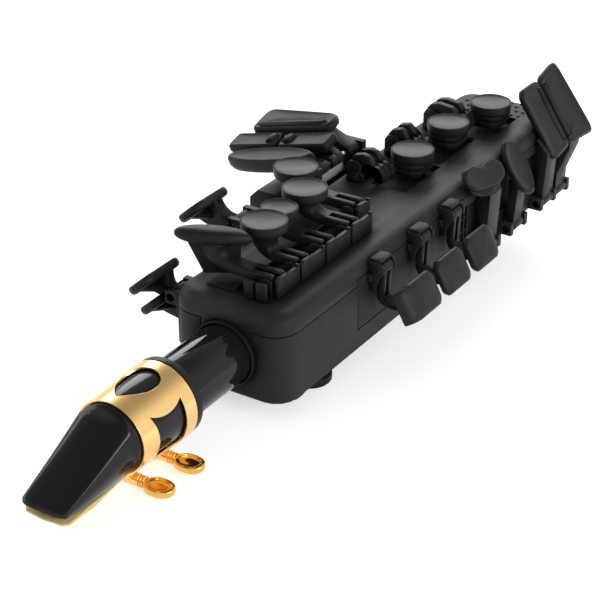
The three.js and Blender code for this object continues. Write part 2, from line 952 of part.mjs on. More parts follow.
// Side keys: hinged at the top of the panel, with a pad that stands out from the wall
const sideKeys = [
  { name: "side_e_key", xShare: 0.276, padXShare: 0.289 },
  { name: "side_c_key", xShare: 0.404, padXShare: 0.391 },
  { name: "side_b_flat_key", xShare: 0.515, padXShare: 0.493 },
];
const sidePivotLift = 27.6;
const sidePivotOut = 3.2;
const sideArmWidth = 7.4;
const sideArmThickness = 2.2;
const sidePadLength = 17;
const sidePadWidth = 12.4;
const sidePadThickness = 2.8;
const sidePadDome = 0.5;
const sidePadRadius = 3;
const sidePadOut = 17.4;
const sidePadLift = 20;
const sidePadLean = THREE.MathUtils.degToRad(62);
const sideArmBottom = 13.4;
const sideArmBend = 4.4;
const sidePadSink = 2.3;
const sideCapThickness = 1.4;

function addSideKeys() {
  const pivotY = -bodySide - sidePivotOut;
  const padOutline = roundedRectangle(sidePadLength, sidePadWidth, sidePadRadius);
  sideKeys.forEach((key) => {
    const x = key.xShare * bodyLength;
    const padX = key.padXShare * bodyLength;
    const half = sideArmWidth / 2;
    const pad = leaning(
      dishedPlate(padOutline, sidePadThickness, -sidePadDome),
      sidePadLean,
      padX,
      -bodySide - sidePadOut,
      sidePadLift,
    );
    const outerY = pivotY - sideArmThickness / 2;
    const innerY = pivotY + sideArmThickness / 2;
    const padBack = -bodySide - sidePadOut + sidePadSink;
    const shape = new THREE.Shape();
    shape.moveTo(innerY, sidePivotLift);
    shape.lineTo(outerY, sidePivotLift);
    shape.lineTo(outerY, sideArmBottom + sideArmBend);
    shape.quadraticCurveTo(
      outerY - sideArmThickness,
      sideArmBottom + sideArmThickness,
      padBack,
      sidePadLift + sidePadThickness,
    );
    shape.lineTo(padBack, sidePadLift - sidePadThickness);
    shape.quadraticCurveTo(innerY, sideArmBottom - sideArmThickness, innerY, sideArmBottom + sideArmBend);
    const slot = block(
      x - slotWidth / 2,
      x + slotWidth / 2,
      outerY - cutOverrun,
      outerY + slotDepth,
      sideArmBottom + sideArmBend,
      sidePivotLift - barrelRadius,
    );
    const arm = joined(
      without(profileX(shape, x - half, x + half), slot),
      pad,
      barX(barrelRadius, x - half, x + half, pivotY, sidePivotLift),
      barX(pinRadius, x - half - pinReach, x + half + pinReach, pivotY, sidePivotLift),
    );
    addHinged(key.name, arm, finishes.key(), pivotGroup(x, pivotY, sidePivotLift));
  });
}

const panelLugBottom = 22;
const panelLugRise = 1.2;

function addSidePanel(strokes) {
  const pivotY = -bodySide - sidePivotOut;
  const plate = block(panelX0, panelX1, -bodySide, -bodySide + wallThickness, panelBottom, panelTop);
  const lugs = sideKeys.map((key) =>
    lugPair(
      key.xShare * bodyLength,
      pivotY,
      sidePivotLift,
      sideArmWidth,
      pivotY - barrelRadius,
      -bodySide + wallThickness / 2,
      panelLugBottom,
      sidePivotLift + barrelRadius,
    ),
  );
  const fin = block(
    panelX0,
    panelX1,
    -bodySide - panelLugRise,
    -bodySide + runningGap,
    panelLugBottom,
    panelTop,
  );
  const caps = sideKeys.map((key) => {
    const x = key.xShare * bodyLength;
    const outer = sideArmWidth / 2 + runningGap + lugLength;
    return joined(
      block(
        x - outer,
        x + outer,
        pivotY,
        -bodySide + runningGap,
        sidePivotLift + barrelRadius + runningGap,
        sidePivotLift + barrelRadius + runningGap + sideCapThickness,
      ),
      block(
        x - outer,
        x - outer + lugLength,
        pivotY - barrelRadius,
        -bodySide + runningGap,
        sidePivotLift,
        sidePivotLift + barrelRadius + 2 * runningGap,
      ),
      block(
        x + outer - lugLength,
        x + outer,
        pivotY - barrelRadius,
        -bodySide + runningGap,
        sidePivotLift,
        sidePivotLift + barrelRadius + 2 * runningGap,
      ),
    );
  });
  const finCut = sideKeys.map((key) => {
    const x = key.xShare * bodyLength;
    const inner = sideArmWidth / 2 + runningGap;
    const top = sidePivotLift + barrelRadius + runningGap;
    return block(x - inner, x + inner, -bodyWidth, -bodySide, -cutOverrun, top);
  });
  const roofEdge = block(
    panelX0 - cutOverrun,
    panelX1 + cutOverrun,
    -bodySide - runningGap,
    bodySide,
    panelTop,
    bodyHeight + cutOverrun,
  );
  const panel = without(
    joined(plate, without(fin, ...finCut), ...lugs.map((lug) => lug.pair), ...caps),
    ...lugs.map((lug) => lug.bore),
    roofEdge,
    ...strokes,
  );
  addFixed("side_key_panel", panel, finishes.shell());
}

// Long levers: a stem up the right wall from its low pivot to a leaning finger plate
const leverLean = THREE.MathUtils.degToRad(56);
const leverPlateThickness = 2.6;
const leverPlateDish = 0.5;
const stemThickness = 2.6;
const stemBendLift = 11.5;
const stemShiftLift = 18.5;
const kidneyLength = 24.5;
const kidneyWidth = 15.5;
const kidneyOut = 3.6;
const kidneyShift = 2.2;
const kidneyRise = 1.4;
const ovalKeyLength = 21.5;
const ovalKeyWidth = 12;
const ovalStemWidth = 6.7;
const ovalKeyOut = 4.6;
const ovalKeyDrop = 4.2;
const pinkyLength = 27.5;
const pinkyWidth = 15;
const pinkyOut = -0.4;
const pinkyRise = 2.8;
const pinkyRadius = 3.4;
const pinkyTopFlare = 2.4;
const pinkyBottomFlare = 1.6;
const lowCTopReach = 1.4;
const lowCBottomReach = 4;
const pinkyEdgeShift = 7.9;
const lowCStemShift = 9;
const kidneyLobeShares = [0.5, 0.42];
const kidneyWaistShare = 0.2;
const kidneyLift = bodyHeight + kidneyRise;
const ovalKeyLift = bodyHeight - ovalKeyDrop;
const pinkyLift = bodyHeight + pinkyRise;

// Kidney outline: a fat lobe at the far end and a slim one at the near end
function kidneyOutline() {
  const [fat, slim] = kidneyLobeShares;
  return Array.from({ length: roundSides }, (_, i) => {
    const angle = (2 * Math.PI * i) / roundSides;
    const blend = (1 + Math.cos(angle)) / 2;
    const halfWidth = kidneyWidth * (slim + (fat - slim) * blend);
    const dip = angle < Math.PI ? kidneyWidth * kidneyWaistShare : 0;
    const sag = dip * Math.sin(angle) ** 2;
    return new THREE.Vector2((kidneyLength / 2) * Math.cos(angle), halfWidth * Math.sin(angle) - sag);
  });
}

// Stem of a lever; a shift carries its upper part along the body
const stemSlopeShare = 1.5;

function leverStem(place, width, topLift, plateOut, shift = 0) {
  const half = width / 2;
  const outerY = place.y - stemThickness / 2;
  const innerY = place.y + stemThickness / 2;
  const plateY = -bodySide - plateOut;
  const side = shapeOf([
    [innerY, place.z],
    [innerY, topLift - stemThickness],
    [plateY + stemThickness / 2, topLift],
    [plateY - stemThickness, topLift - stemThickness * stemSlopeShare],
    [outerY - stemThickness / 2, topLift - 2 * stemThickness],
    [outerY, place.z],
  ]);
  const front = shapeOf([
    [place.x - half, place.z - barrelRadius],
    [place.x + half, place.z - barrelRadius],
    [place.x + half, stemBendLift],
    [place.x + half + shift, stemShiftLift],
    [place.x + half + shift, topLift + cutOverrun],
    [place.x - half + shift, topLift + cutOverrun],
    [place.x - half + shift, stemShiftLift],
    [place.x - half, stemBendLift],
  ]);
  const span = half + Math.abs(shift);
  const reach = half + leverPinReach;
  const stem = profileX(side, place.x - span, place.x + span).intersect(
    profileY(front, plateY - 2 * bodyHeight, bodySide),
  );
  return joined(
    stem,
    barX(barrelRadius, place.x - half, place.x + half, place.y, place.z),
    barX(pinRadius, place.x - reach, place.x + reach, place.y, place.z),
  );
}

function leverPlate(outline, x, out, lift) {
  return leaning(
    dishedPlate(outline, leverPlateThickness, leverPlateDish),
    leverLean,
    x,
    -bodySide - out,
    lift,
  );
}

function sharpLeverKeys() {
  const [kidney, oval] = levers.map(leverPlace);
  const kidneyKey = joined(
    leverStem(kidney, leverWidth, kidneyLift - leverPlateThickness, kidneyOut),
    leverPlate(kidneyOutline(), kidney.x - kidneyShift, kidneyOut, kidneyLift),
  );
  const upright = ovalOutline(ovalKeyWidth, ovalKeyLength);
  const pinEnd = leverWidth / 2 + pinReach;
  const ovalKey = joined(
    leverStem(oval, ovalStemWidth, ovalKeyLift - leverPlateThickness, ovalKeyOut),
    barX(pinRadius, oval.x - pinEnd, oval.x + pinEnd, oval.y, oval.z),
    leverPlate(upright, oval.x, ovalKeyOut, ovalKeyLift),
  );
  return [
    { name: "high_f_sharp_key", place: kidney, solid: kidneyKey },
    { name: "alternate_f_sharp_key", place: oval, solid: ovalKey },
  ];
}

// Little-finger plates of the right hand, with a roller on each side of their common edge
const pinkyRollerRadius = 1.5;
const pinkyRollerLengthShare = 0.78;
const pinkyRollerPin = 0.6;
const pinkyRollerPinLength = 1.1;
const rollerSink = 0.7;
const rollerChannelHeight = 10;

function rollerSolid(radius, length, pin, pinLength, sides = smallSides) {
  const half = length / 2;
  return new THREE.LatheGeometry(
    [
      [0, -half - pinLength],
      [pin, -half - pinLength],
      [pin, -half],
      [radius, -half],
      [radius, half],
      [pin, half],
      [pin, half + pinLength],
      [0, half + pinLength],
    ].map(([r, h]) => new THREE.Vector2(r, h)),
    sides,
  );
}

function pinkyOutline(side) {
  const inner = (-side * pinkyWidth) / 2;
  const outer = (side * pinkyWidth) / 2;
  const end = pinkyLength / 2;
  const isLowC = side > 0;
  const corners = [
    [outer + (isLowC ? lowCTopReach : 0), end + (isLowC ? pinkyTopFlare : 0)],
    [inner, end],
    [inner, -end],
    [outer + (isLowC ? lowCBottomReach : 0), -end - pinkyBottomFlare],
  ];
  return roundedPolygon(isLowC ? corners : corners.reverse(), pinkyRadius);
}

function littleFingerKeys() {
  const lowEFlat = leverPlace(levers[2]);
  const lowC = { ...lowEFlat, x: lowEFlat.x + lowCSpacing };
  const gap = runningGap;
  const edge = lowEFlat.x + lowCSpacing / 2 + pinkyEdgeShift;
  const rollerLength = pinkyLength * pinkyRollerLengthShare;
  const rollerPitch = pinkyRollerRadius + gap;
  return [
    { name: "low_e_flat_key", place: lowEFlat, side: -1, rollerName: "roller_e_flat" },
    { name: "low_c_key", place: lowC, side: 1, rollerName: "roller_c" },
  ].map(({ name, place, side, rollerName }) => {
    const plateX = edge + side * (pinkyWidth / 2 + gap);
    const rollerX = edge + side * (rollerPitch + gap);
    const outline = pinkyOutline(side);
    const plate = dishedPlate(outline, leverPlateThickness, leverPlateDish);
    const channel = new THREE.BoxGeometry(
      2 * (pinkyRollerRadius + gap),
      rollerLength + 2 * gap,
      rollerChannelHeight,
    );
    const pinHole = new THREE.CylinderGeometry(
      pinkyRollerPin + gap,
      pinkyRollerPin + gap,
      rollerLength + 2 * (pinkyRollerPinLength + 2 * gap),
      smallSides,
    );
    const lean = (geometry, x) =>
      solidOf(
        geometry
          .clone()
          .rotateX(leverLean)
          .translate(x, -bodySide - pinkyOut, pinkyLift),
      );
    const sunk = (geometry) => geometry.clone().translate(0, 0, -rollerSink - pinkyRollerPin);
    const stem = leverStem(
      place,
      leverWidth,
      pinkyLift - leverPlateThickness * 2,
      pinkyOut + stemThickness,
      side > 0 ? lowCStemShift : 0,
    );
    const solid = without(
      joined(lean(plate, plateX), stem),
      lean(sunk(channel), rollerX),
      lean(sunk(pinHole), rollerX),
    );
    const rollerGeometry = rollerSolid(pinkyRollerRadius, rollerLength, pinkyRollerPin, pinkyRollerPinLength);
    const rollerCentre = new THREE.Vector3(0, 0, -rollerSink - pinkyRollerPin)
      .applyAxisAngle(new THREE.Vector3(1, 0, 0), leverLean)
      .add(new THREE.Vector3(rollerX, -bodySide - pinkyOut, pinkyLift));
    return { name, place, solid, rollerName, rollerCentre, roller: lean(sunk(rollerGeometry), rollerX) };
  });
}

// A long lever at steps of its stroke and a little beyond: the walls are cut clear of these
const strokeSteps = [THREE.MathUtils.degToRad(-1.3), THREE.MathUtils.degToRad(-2.6)];

function strokeOf({ place, solid, roller }) {
  const moving = roller ? joined(solid, roller) : solid;
  return strokeSteps.map((angle) =>
    moving
      .translate([0, -place.y, -place.z])
      .rotate([THREE.MathUtils.radToDeg(angle), 0, 0])
      .translate([0, place.y, place.z]),
  );
}

function addLevers(keys) {
  keys.forEach(({ name, place, solid, rollerName, rollerCentre, roller }) => {
    const hinge = pivotGroup(place.x, place.y, place.z);
    addHinged(name, solid, finishes.key(), hinge);
    if (roller) {
      const axle = pivotGroup(...rollerCentre.toArray(), hinge.group, hinge.pivot);
      addHinged(rollerName, roller, finishes.key(), axle);
    }
  });
}

// Mouthpiece: shank in the socket collar, rim ring, body and a beak that slopes to the tip
const shankRadius = 10.3;
const shankInside = 4.8;
const rimX = -29.6;
const rimLength = 3.4;
const rimRadius = 13;
const rimEdge = 0.8;
const grooveLength = 1.4;
const grooveRadius = 9.8;
const bodyBackRadius = 12.2;
const bodyFrontX = -58.6;
const bodyFrontRadius = 11.4;
const tipX = -89.6;
const tipHalfWidth = 7.8;
const tipTopLift = 8.8;
const tipBottomLift = 7.3;
const tableLift = 5.4;
const facingStartX = -68;
const facingSteps = 3;
const mouthpieceBore = 7.2;
const windowHalfWidth = 5.4;
const windowStartX = -62;
const windowTipWall = 2;
const windowRoofLift = 17;
const beakStationShares = [1, 0.8, 0.55, 0.28, 0.08, 0];
const beakWidthPower = 0.8;
const beakTopPower = 1.08;
const tipSquareness = 0.6;

function superellipse(value, power) {
  return Math.sign(value) * Math.abs(value) ** power;
}

function beakRing(share) {
  const x = bodyFrontX + (tipX - bodyFrontX) * share;
  const halfWidth = bodyFrontRadius + (tipHalfWidth - bodyFrontRadius) * share ** beakWidthPower;
  const highest = boreHeight + bodyFrontRadius;
  const lowest = boreHeight - bodyFrontRadius;
  const top = tipTopLift + (highest - tipTopLift) * (1 - share) ** beakTopPower;
  const bottom = lowest + (tableLift - lowest) * share;
  const power = 1 - (1 - tipSquareness) * share;
  return Array.from({ length: roundSides }, (_, i) => {
    const angle = (2 * Math.PI * i) / roundSides;
    const across = superellipse(Math.cos(angle), power);
    const up = superellipse(Math.sin(angle), power);
    return new THREE.Vector3(x, halfWidth * across, (top + bottom) / 2 + ((top - bottom) / 2) * up);
  });
}

// Everything below the flat table and the curved facing that the reed closes on
function belowFacing() {
  const start = rimX - rimLength - cutOverrun / 2;
  const facing = Array.from({ length: facingSteps + 1 }, (_, i) => {
    const share = i / facingSteps;
    return [
      facingStartX + (tipX - facingStartX) * share,
      tableLift + (tipBottomLift - tableLift) * share ** 2,
    ];
  });
  return profileY(
    shapeOf([
      [start, -bodyHeight],
      [start, tableLift],
      ...facing,
      [tipX - cutOverrun, tipBottomLift],
      [tipX - cutOverrun, -bodyHeight],
    ]),
    -bodySide,
    bodySide,
  );
}

function addMouthpiece() {
  const back = turnedX(
    [
      [0, bodyFrontX],
      [bodyFrontRadius, bodyFrontX],
      [bodyBackRadius, rimX - rimLength],
      [rimRadius, rimX - rimLength],
      [rimRadius, rimX - rimEdge],
      [grooveRadius, rimX],
      [grooveRadius, rimX + grooveLength],
      [shankRadius, rimX + grooveLength],
      [shankRadius, shankInside],
      [0, shankInside],
    ],
    0,
    boreHeight,
  );
  const beak = solidOf(loft(beakStationShares.map(beakRing)));
  const bore = barX(mouthpieceBore, windowStartX, shankInside + cutOverrun, 0, boreHeight, roundSides);
  const chamber = profileY(
    shapeOf([
      [windowStartX + cutOverrun, tableLift - cutOverrun],
      [windowStartX + cutOverrun, windowRoofLift],
      [windowStartX, windowRoofLift],
      [tipX + windowTipWall, tipBottomLift],
      [tipX + windowTipWall, tableLift - cutOverrun],
    ]),
    -windowHalfWidth,
    windowHalfWidth,
  );
  const mouthpiece = without(joined(back, beak), belowFacing(), bore, chamber);
  const swivel = pivotGroup(0, 0, boreHeight);
  addHinged("mouthpiece", mouthpiece, finishes.ebonite(), swivel);
  addReed(swivel);
  addLigature(swivel);
}

// Reed: flat on the table, round at the back under the ligature, thin at the tip
const reedHeelX = -36;
const reedHeelThickness = 2.4;
const reedTipThickness = 0.6;
const reedVampX = -61;
const reedHeelHalfWidth = 6;
const reedTipHalfWidth = 8;
const reedTipRecess = 0.3;
const reedTipCorner = 2.2;
const reedCornerShare = 0.3;
const reedBackRadius = 11.3;
const reedTipRadius = 15;

function addReed(swivel) {
  const top = tableLift - runningGap;
  const tip = tipX + reedTipRecess;
  const side = profileY(
    shapeOf([
      [reedHeelX, top],
      [tip, top],
      [tip, top - reedTipThickness],
      [reedVampX, top - reedHeelThickness],
      [reedHeelX, top - reedHeelThickness],
    ]),
    -bodySide,
    bodySide,
  );
  const cornerX = tip + reedTipCorner * reedCornerShare;
  const cornerY = reedTipHalfWidth - reedTipCorner * (1 - reedCornerShare);
  const plan = profileZ(
    shapeOf([
      [reedHeelX, -reedHeelHalfWidth],
      [reedHeelX, reedHeelHalfWidth],
      [tip + reedTipCorner, reedTipHalfWidth],
      [cornerX, cornerY],
      [tip, 0],
      [cornerX, -cornerY],
      [tip + reedTipCorner, -reedTipHalfWidth],
    ]),
    -bodyHeight,
    bodyHeight,
  );
  const back = turnedX(
    [
      [0, tip - cutOverrun],
      [reedTipRadius, tip - cutOverrun],
      [reedBackRadius, bandFrontX - bandFrontMargin],
      [reedBackRadius, reedHeelX + cutOverrun],
      [0, reedHeelX + cutOverrun],
    ],
    0,
    boreHeight,
  );
  addHinged("reed", side.intersect(plan).intersect(back), finishes.cane(), swivel);
}

// Ligature: a split band with a drop-shaped window on top, a window on each side and two clamps
const bandBackX = -33.4;
const bandFrontX = -58;
const bandFrontMargin = 1;
const bandThickness = 0.6;
const bandBackRadius = 13.3;
const bandFrontRadius = 12.3;
const dropEndShares = [0.14, 0.84];
const dropMiddleShare = 0.6;
const dropShoulderShare = 0.36;
const dropHalfWidthShare = 0.24;
const sideWindowShares = { front: 0.24, back: 0.8, waist: 0.1, top: 0.3, bottom: -0.34 };
const screwXShares = [0.2, 0.8];
const screwLift = -1;
const clampRadius = 2;
const clampWidth = 4.4;
const clampHalfSpan = 6.4;
const clampFootHalfSpan = 4;
const splitHalfWidth = 0.9;
const screwRadius = 1.1;
const screwTail = 0.6;
const screwNeckRadius = 1.9;
const screwNeckLength = 1.6;
const wingLength = 10.2;
const wingWidth = 7.4;
const wingThickness = 2.4;
const wingDish = 0.7;

const bandLength = bandBackX - bandFrontX;
const screwPlaces = screwXShares.map((share) => bandFrontX + bandLength * share);

function bandWindows() {
  const at = (share) => bandFrontX + bandLength * share;
  const [front, back] = dropEndShares.map(at);
  const middle = at(dropMiddleShare);
  const shoulder = at(dropShoulderShare);
  const half = bandLength * dropHalfWidthShare;
  const drop = new THREE.Shape();
  drop.moveTo(front, 0);
  drop.quadraticCurveTo(shoulder, -half, middle, -half);
  drop.quadraticCurveTo(back, -half, back, 0);
  drop.quadraticCurveTo(back, half, middle, half);
  drop.quadraticCurveTo(shoulder, half, front, 0);
  const side = new THREE.Shape();
  const sideFront = at(sideWindowShares.front);
  const sideBack = at(sideWindowShares.back);
  const waist = at(sideWindowShares.front + sideWindowShares.waist);
  const highest = boreHeight + bandLength * sideWindowShares.top;
  const lowest = boreHeight + bandLength * sideWindowShares.bottom;
  side.moveTo(sideFront, highest);
  side.quadraticCurveTo((sideFront + sideBack) / 2, (highest + boreHeight) / 2, sideBack, highest);
  side.lineTo(sideBack, lowest);
  side.lineTo(sideFront, lowest);
  side.quadraticCurveTo(waist, boreHeight, sideFront, highest);
  return [
    profileZ(drop, boreHeight, boreHeight + bandBackRadius + cutOverrun),
    profileY(side, -bandBackRadius - cutOverrun, bandBackRadius + cutOverrun),
  ];
}

function addLigature(swivel) {
  const band = turnedX(
    [
      [bandFrontRadius - bandThickness, bandFrontX],
      [bandFrontRadius, bandFrontX],
      [bandBackRadius, bandBackX],
      [bandBackRadius - bandThickness, bandBackX],
      [bandFrontRadius - bandThickness, bandFrontX],
    ],
    0,
    boreHeight,
  );
  const split = block(
    bandFrontX - cutOverrun,
    bandBackX + cutOverrun,
    -splitHalfWidth,
    splitHalfWidth,
    screwLift - clampRadius - cutOverrun,
    boreHeight,
  );
  const footTop = boreHeight - bandFrontRadius + bandThickness / 2;
  const clamps = screwPlaces.map((x) => {
    const foot = block(
      x - clampWidth / 2,
      x + clampWidth / 2,
      -clampFootHalfSpan,
      clampFootHalfSpan,
      screwLift,
      footTop,
    );
    return joined(barY(clampRadius, -clampHalfSpan, clampHalfSpan, x, screwLift), foot);
  });
  const overrun = clampHalfSpan + cutOverrun;
  const holes = screwPlaces.map((x) => barY(screwRadius + runningGap, -overrun, overrun, x, screwLift));
  const open = without(band, ...bandWindows());
  addHinged("ligature", without(joined(open, ...clamps), split, ...holes), finishes.plate(), swivel);
  ["front", "rear"].forEach((end, i) => {
    const x = screwPlaces[i];
    const neckStart = -clampHalfSpan - runningGap;
    const neckEnd = neckStart - screwNeckLength;
    const wingY = neckEnd - wingLength / 2 + runningGap;
    const wing = dishedPlate(ovalOutline(wingWidth, wingLength), wingThickness, wingDish);
    const screw = joined(
      barY(screwRadius, wingY, clampHalfSpan + screwTail, x, screwLift),
      barY(screwNeckRadius, neckEnd, neckStart, x, screwLift),
      solidOf(wing.translate(x, wingY, screwLift + wingThickness / 2)),
    );
    const axle = pivotGroup(x, wingY, screwLift, swivel.group, swivel.pivot);
    addHinged("ligature_screw_" + end, screw, finishes.screw(), axle);
  });
}

// Socket collar in the front wall, and the air tube behind it
const collarBackWall = 1.6;
const airTubeRadius = 3.4;
const airTubeBore = 2.2;
const airTubeLength = 25;

function addSocket() {
  const back = collarFront + collarLength;
  const inner = shankRadius + runningGap;
  const tubeSeat = airTubeRadius + runningGap;
  const collar = turnedX(
    [
      [inner, collarFront],
      [collarRadius, collarFront],
      [collarRadius, back + collarBackWall],
      [tubeSeat, back + collarBackWall],
      [tubeSeat, back],
      [inner, back],
      [inner, collarFront],
    ],
    0,
    boreHeight,
  );
  addFixed("socket_collar", collar, finishes.key());
  const tube = turnedX(
    [
      [airTubeBore, back + runningGap],
      [airTubeRadius, back + runningGap],
      [airTubeRadius, back + airTubeLength],
      [airTubeBore, back + airTubeLength],
      [airTubeBore, back + runningGap],
    ],
    0,
    boreHeight,
    smallSides,
  );
  addFixed("air_tube", tube, finishes.metal());
}

// Table keys of the left little finger, on one rod along the roof's left edge
const tablePivotInset = 1.53;
const tablePivotRise = 7.6;
const tableLean = THREE.MathUtils.degToRad(-14);
const tablePitch = THREE.MathUtils.degToRad(-12);
const tableThickness = 3.8;
const gSharpThickness = 5.4;
const tableDish = 0.4;
const tableBarrelWidth = 6.6;
const tableNarrowBarrel = 3.4;
const tableArmDepth = 2.6;
const tableArmSinkShare = 0.6;
const tableArmStartShare = 0.3;
const tableCornerRadius = 1.2;
const backCornerRadius = 4;
const ductOut = 19.6;
const ductDrop = 2;
const tableXShare = 0.4415;
const gSharpLength = 38;
const gSharpWidth = 9;
const gSharpOut = 19.6;
const gSharpRise = 8.4;
const pairLength = 21;
const pairWidth = 8.2;
const pairOut = 20.65;
const pairSpacing = 21.36;
const cSharpRise = 8.16;
const lowBRise = 13.17;
const backLength = 35;
const backWidth = 12;
const backFlare = 2.2;
const backTaper = 3;
const backOut = 20.9;
const backRise = 14.4;
const pairGap = 0.4;
const backGap = 0.66;

const gSharpX = tableXShare * bodyLength;
const pairX = gSharpX + (gSharpWidth + pairWidth) / 2 + pairGap;
const backX = pairX + (pairWidth + backWidth) / 2 + backGap;
const pairY = bodySide + pairOut;
const tablePlates = {
  gSharp: { x: gSharpX, y: bodySide + gSharpOut, rise: gSharpRise, length: gSharpLength },
  cSharp: { x: pairX, y: pairY + pairSpacing / 2, rise: cSharpRise, length: pairLength },
  lowB: { x: pairX, y: pairY - pairSpacing / 2, rise: lowBRise, length: pairLength },
  lowBFlat: { x: backX, y: bodySide + backOut, rise: backRise, length: backLength },
};

// Rollers of the table keys
const tableRollerSizes = { radius: 1.9, length: 4, pin: 0.6, pinLength: 0.6, sink: 0.8 };
const backRollerSizes = { radius: 1.5, length: 27, pin: 0.7, pinLength: 1, sink: 0.7 };
const rollerEdge = 1.3;

const tablePivotY = bodySide - tablePivotInset;
const tablePivotZ = bodyHeight + tablePivotRise;

function tableMatrix(plate) {
  return new THREE.Matrix4()
    .makeTranslation(plate.x, plate.y, bodyHeight + plate.rise)
    .multiply(new THREE.Matrix4().makeRotationX(tableLean))
    .multiply(new THREE.Matrix4().makeRotationY(tablePitch));
}

// Barrel on the rod with an arm to a knee and on to the far end, given by [y, z] of the arm's top
function tableArm([x0, x1], [kneeY, kneeZ], [endY, endZ]) {
  const shape = shapeOf([
    [tablePivotY, tablePivotZ - barrelRadius],
    [kneeY, kneeZ - tableArmDepth],
    [endY, endZ - tableArmDepth],
    [endY, endZ],
    [kneeY, kneeZ],
    [tablePivotY, tablePivotZ + barrelRadius],
  ]);
  const barrel = barX(barrelRadius, x0, x1, tablePivotY, tablePivotZ);
  return joined(profileX(shape, x0, x1), barrel);
}

// Height inside a plate at a distance across the body
function insidePlate(plate, y) {
  const fall = (y - plate.y) * Math.tan(tableLean);
  return bodyHeight + plate.rise + fall - tableThickness * tableArmSinkShare;
}

function shortTableArm(span, plate) {
  const kneeY = plate.y - plate.length * tableArmStartShare;
  return tableArm(span, [kneeY, insidePlate(plate, kneeY)], [plate.y, insidePlate(plate, plate.y)]);
}

// A channel, its pin holes and the roller that lies in it; the roller runs along the plate or across
function rollerSeat(sizes, x, y, across, matrix) {
  const { radius, length, pin, pinLength, sink } = sizes;
  const place = (geometry, z) => {
    const turned = across ? geometry.rotateZ(-Math.PI / 2) : geometry;
    return solidOf(turned.translate(x, y, z).applyMatrix4(matrix));
  };
  const width = 2 * (radius + runningGap);
  const floor = -sink - radius - runningGap;
  const holeRadius = pin + runningGap;
  const holeLength = length + 2 * (pinLength + 2 * runningGap);
  return {
    channel: place(
      new THREE.BoxGeometry(width, length + 2 * runningGap, cutOverrun - floor),
      (cutOverrun + floor) / 2,
    ),
    holes: place(new THREE.CylinderGeometry(holeRadius, holeRadius, holeLength, smallSides), -sink),
    roller: place(rollerSolid(radius, length, pin, pinLength), -sink),
    centre: new THREE.Vector3(x, y, -sink).applyMatrix4(matrix),
  };
}

function addTableKey(name, span, arm, touch, plate, seat, rollerName) {
  const body = joined(solidOf(touch.applyMatrix4(tableMatrix(plate))), arm);
  const bore = barX(pinBoreRadius, span[0] - cutOverrun, span[1] + cutOverrun, tablePivotY, tablePivotZ);
  const cuts = seat ? [bore, seat.channel, seat.holes] : [bore];
  const hinge = pivotGroup((span[0] + span[1]) / 2, tablePivotY, tablePivotZ);
  addHinged(name, without(body, ...cuts), finishes.key(), hinge);
  if (seat) {
    const axle = pivotGroup(...seat.centre.toArray(), hinge.group, hinge.pivot);
    addHinged(rollerName, seat.roller, finishes.key(), axle);
  }
}

function addTableKeys() {
  const { gSharp, cSharp, lowB, lowBFlat } = tablePlates;
  const gSpan = [gSharpX - tableBarrelWidth / 2, gSharpX + tableBarrelWidth / 2];
  const gTouch = dishedPlate(ovalOutline(gSharpWidth, gSharpLength), gSharpThickness, tableDish);
  addTableKey("g_sharp_key", gSpan, shortTableArm(gSpan, gSharp), gTouch, gSharp);

  const outerSpan = [pairX - tableNarrowBarrel - runningGap / 2, pairX - runningGap / 2];
  const innerSpan = [pairX + runningGap / 2, pairX + tableNarrowBarrel + runningGap / 2];
  const rollerY = cSharp.length / 2 - tableRollerSizes.radius - rollerEdge;
  const pairOutline = roundedRectangle(pairWidth, pairLength, tableCornerRadius);
  const pairTouch = () => dishedPlate(pairOutline, tableThickness, tableDish);
  const ductY = bodySide + ductOut;
  const ductZ = insidePlate(lowB, ductY) - tableThickness - ductDrop;
  const duct = tableArm(outerSpan, [ductY, ductZ], [cSharp.y, insidePlate(cSharp, cSharp.y)]);
  const outerSeat = rollerSeat(tableRollerSizes, 0, -rollerY, true, tableMatrix(cSharp));
  const innerSeat = rollerSeat(tableRollerSizes, 0, rollerY, true, tableMatrix(lowB));
  addTableKey("c_sharp_key", outerSpan, duct, pairTouch(), cSharp, outerSeat, "table_roller_outer");
  const innerArm = shortTableArm(innerSpan, lowB);
  addTableKey("low_b_key", innerSpan, innerArm, pairTouch(), lowB, innerSeat, "table_roller_inner");

  const backSpan = [backX - tableBarrelWidth / 2, backX + tableBarrelWidth / 2];
  const backOutline = roundedPolygon(
    [
      [backWidth / 2 + backFlare, backLength / 2],
      [-backWidth / 2, backLength / 2],
      [-backWidth / 2, -backLength / 2],
      [backWidth / 2 - backTaper, -backLength / 2],
    ],
    backCornerRadius,
  );
  const backTouch = dishedPlate(backOutline, tableThickness, tableDish);
  const backRollerX = backRollerSizes.radius + rollerEdge - backWidth / 2;
  const backSeat = rollerSeat(backRollerSizes, backRollerX, 0, false, tableMatrix(lowBFlat));
  const backArm = shortTableArm(backSpan, lowBFlat);
  addTableKey("low_b_flat_key", backSpan, backArm, backTouch, lowBFlat, backSeat, "table_roller_back");
  addTableBlock(gSpan[0] - runningGap, backSpan[1] + runningGap);
}

// Block on the left wall with the cheeks of the table rod: a high boss, then a lower carrier
const blockStartShare = 0.314;
const blockWidth = 10.8;
const bossTopRise = 7.2;
const carrierDrop = 0.6;
const blockBottomLift = 16;
const blockChamfer = 3.2;
const cheekDepth = 3.2;

